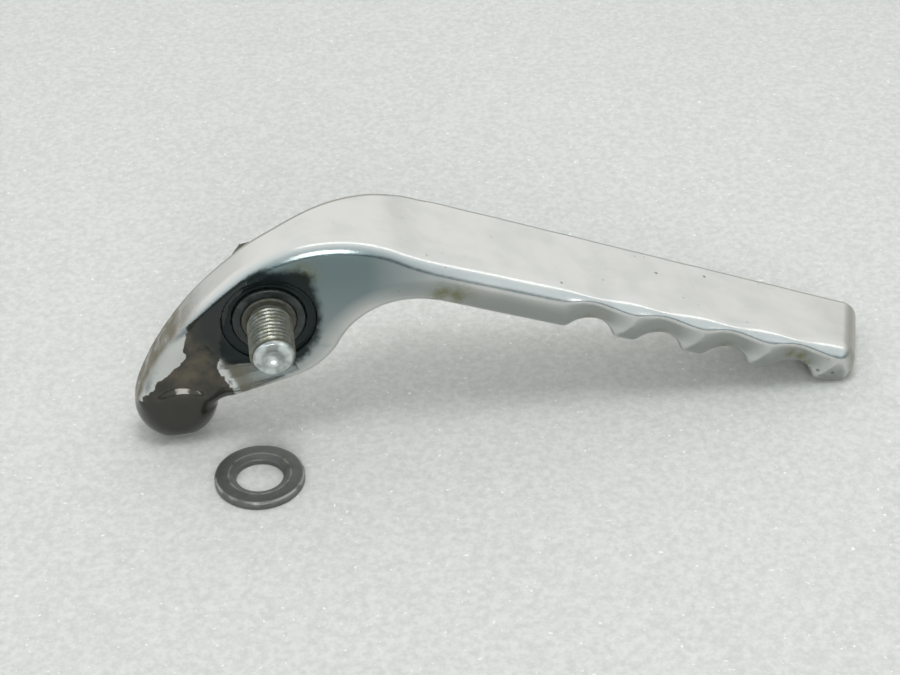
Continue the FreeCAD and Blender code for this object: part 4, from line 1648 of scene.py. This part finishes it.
@dataclass
class Studio:
    """Camera, floor and light of the picture."""

    eye: Numbers = (-8.49, -352.06, 258.45)
    forward: Numbers = (0.1100, 0.8031, -0.5856)
    lens: float = 80.0
    sensor: float = 36.0
    shift: float = -0.0417
    floor_size: float = 4000.0
    floor_cells: int = 8
    roll: float = -0.35
    near: float = 0.01
    behind: Numbers = (-0.5, 0.5)
    horizon: Numbers = (0.10, 0.36)
    tube: Colour = (2.0, 2.0, 1.97, 1.0)
    tube_y: float = 0.04
    tube_side: Numbers = (0.12, 0.05)
    tube_height: Numbers = (0.45, 0.6)
    tube_left: Numbers = (-0.35, -0.15)
    front_middle: Colour = (0.82, 0.90, 0.92, 1.0)
    back_middle: Colour = (1.07, 1.07, 1.045, 1.0)
    front_low: Colour = (0.17, 0.22, 0.24, 1.0)
    back_low: Colour = (0.80, 0.80, 0.78, 1.0)
    window: Colour = (9.0, 9.0, 8.7, 1.0)
    window_way: Numbers = (0.02, -0.92, 0.39)
    window_width: float = 0.18
    window_height: float = 0.20
    window_blur: float = 0.03
    light_place: Numbers = (30.0, -90.0, 620.0)
    light_size: float = 220.0
    light_power: float = 1.5
    finish: PackingFoam = PackingFoam()

    def camera(self) -> None:
        """Set the camera at the picture's angle."""
        data = bpy.data.cameras.new("picture_camera")
        data.lens = self.lens
        data.sensor_width = self.sensor
        data.shift_y = self.shift
        data.clip_start = self.near
        made = bpy.data.objects.new("picture_camera", data)
        way = Vector(self.forward).normalized()
        right = way.cross(Vector((0.0, 0.0, 1.0))).normalized()
        up = right.cross(way)
        turn = Matrix((right, up, -way)).transposed().to_4x4()
        turn = turn @ Matrix.Rotation(math.radians(self.roll), 4, "Z")
        made.matrix_world = Matrix.Translation(Vector(self.eye) * MM) @ turn
        bpy.context.scene.collection.objects.link(made)
        bpy.context.scene.camera = made

    def floor(self) -> None:
        """Lay the white sheet under everything."""
        half = self.floor_size / 2.0
        count = self.floor_cells + 1
        steps = np.linspace(-half, half, count)
        x, y = np.meshgrid(steps, steps, indexing="ij")
        points = np.stack([x, y, np.full(x.shape, FLOOR_Z)], axis=-1).reshape(-1, 3)
        row, column = np.meshgrid(np.arange(count - 1), np.arange(count - 1), indexing="ij")
        first = (row * count + column).ravel()
        faces = np.stack([first, first + count, first + count + 1, first + 1], axis=-1).tolist()
        made = new_piece("floor_sheet", points, faces, self.finish)

    def light(self) -> None:
        """Hang a dome, dark towards the viewer, with an overhead tube light and a window, and a lamp."""
        world = bpy.data.worlds.new("room")
        world.use_nodes = True
        graph = Graph(world.node_tree)
        way = graph.node("ShaderNodeTexCoord").outputs["Generated"]
        parts = graph.node("ShaderNodeSeparateXYZ", {0: way}).outputs
        behind = graph.step(parts["Y"], *self.behind)
        low = graph.blend(behind, self.front_low, self.back_low)
        middle = graph.blend(behind, self.front_middle, self.back_middle)
        sky = graph.blend(graph.step(parts["Z"], *self.horizon), low, middle)
        aside = graph.math("ABSOLUTE", graph.math("SUBTRACT", parts["Y"], self.tube_y))
        tube = graph.math("MULTIPLY", graph.step(aside, *self.tube_side),
                          graph.step(parts["Z"], *self.tube_height))
        tube = graph.math("MULTIPLY", tube, graph.step(parts["X"], *self.tube_left))
        sky = graph.blend(tube, sky, self.tube)
        sky = graph.blend(self.in_window(graph, way), sky, self.window)
        shade = graph.node("ShaderNodeBackground", {"Color": sky, "Strength": 1.0}).outputs[0]
        graph.node("ShaderNodeOutputWorld", {"Surface": shade})
        bpy.context.scene.world = world
        data = bpy.data.lights.new("wide_lamp", "AREA")
        data.shape = "DISK"
        data.size = self.light_size * MM
        data.energy = self.light_power
        made = bpy.data.objects.new("wide_lamp", data)
        made.visible_glossy = False
        spot = Vector(self.light_place) * MM
        made.matrix_world = Matrix.Translation(spot) @ spot.to_track_quat("Z", "Y").to_matrix().to_4x4()
        bpy.context.scene.collection.objects.link(made)

    def in_window(self, graph: Graph, way: bpy.types.NodeSocket) -> bpy.types.NodeSocket:
        """Return the mask of an upright window behind the viewer, from three dot products with its axes.

        Args:
            graph: the graph to fill.
            way: direction of the view.

        Returns:
            A share from 0 to 1.
        """
        ahead = Vector(self.window_way).normalized()
        across = ahead.cross(Vector((0.0, 0.0, 1.0))).normalized()
        facing, aside, high = (
            graph.node("ShaderNodeVectorMath", {0: way, 1: axis}, operation="DOT_PRODUCT").outputs["Value"]
            for axis in (ahead, across, across.cross(ahead)))
        mask = graph.step(facing, 0.0, 0.1)
        for value, half in ((aside, self.window_width), (high, self.window_height)):
            away = graph.math("ABSOLUTE", value)
            mask = graph.math("MULTIPLY", mask, graph.step(away, half, half - self.window_blur))
        return mask

    def build(self) -> None:
        """Set up floor, light and camera."""
        self.floor()
        self.light()
        self.camera()
        bpy.context.scene.view_settings.view_transform = "Standard"


def main() -> None:
    """Build the object piece by piece and log each."""
    logging.basicConfig(level=logging.INFO, format="%(message)s")
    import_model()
    for part in (Casting(), Bush(), Bolt(), Washer()):
        part.build()
    Studio().build()


if __name__ == "__main__":
    main()
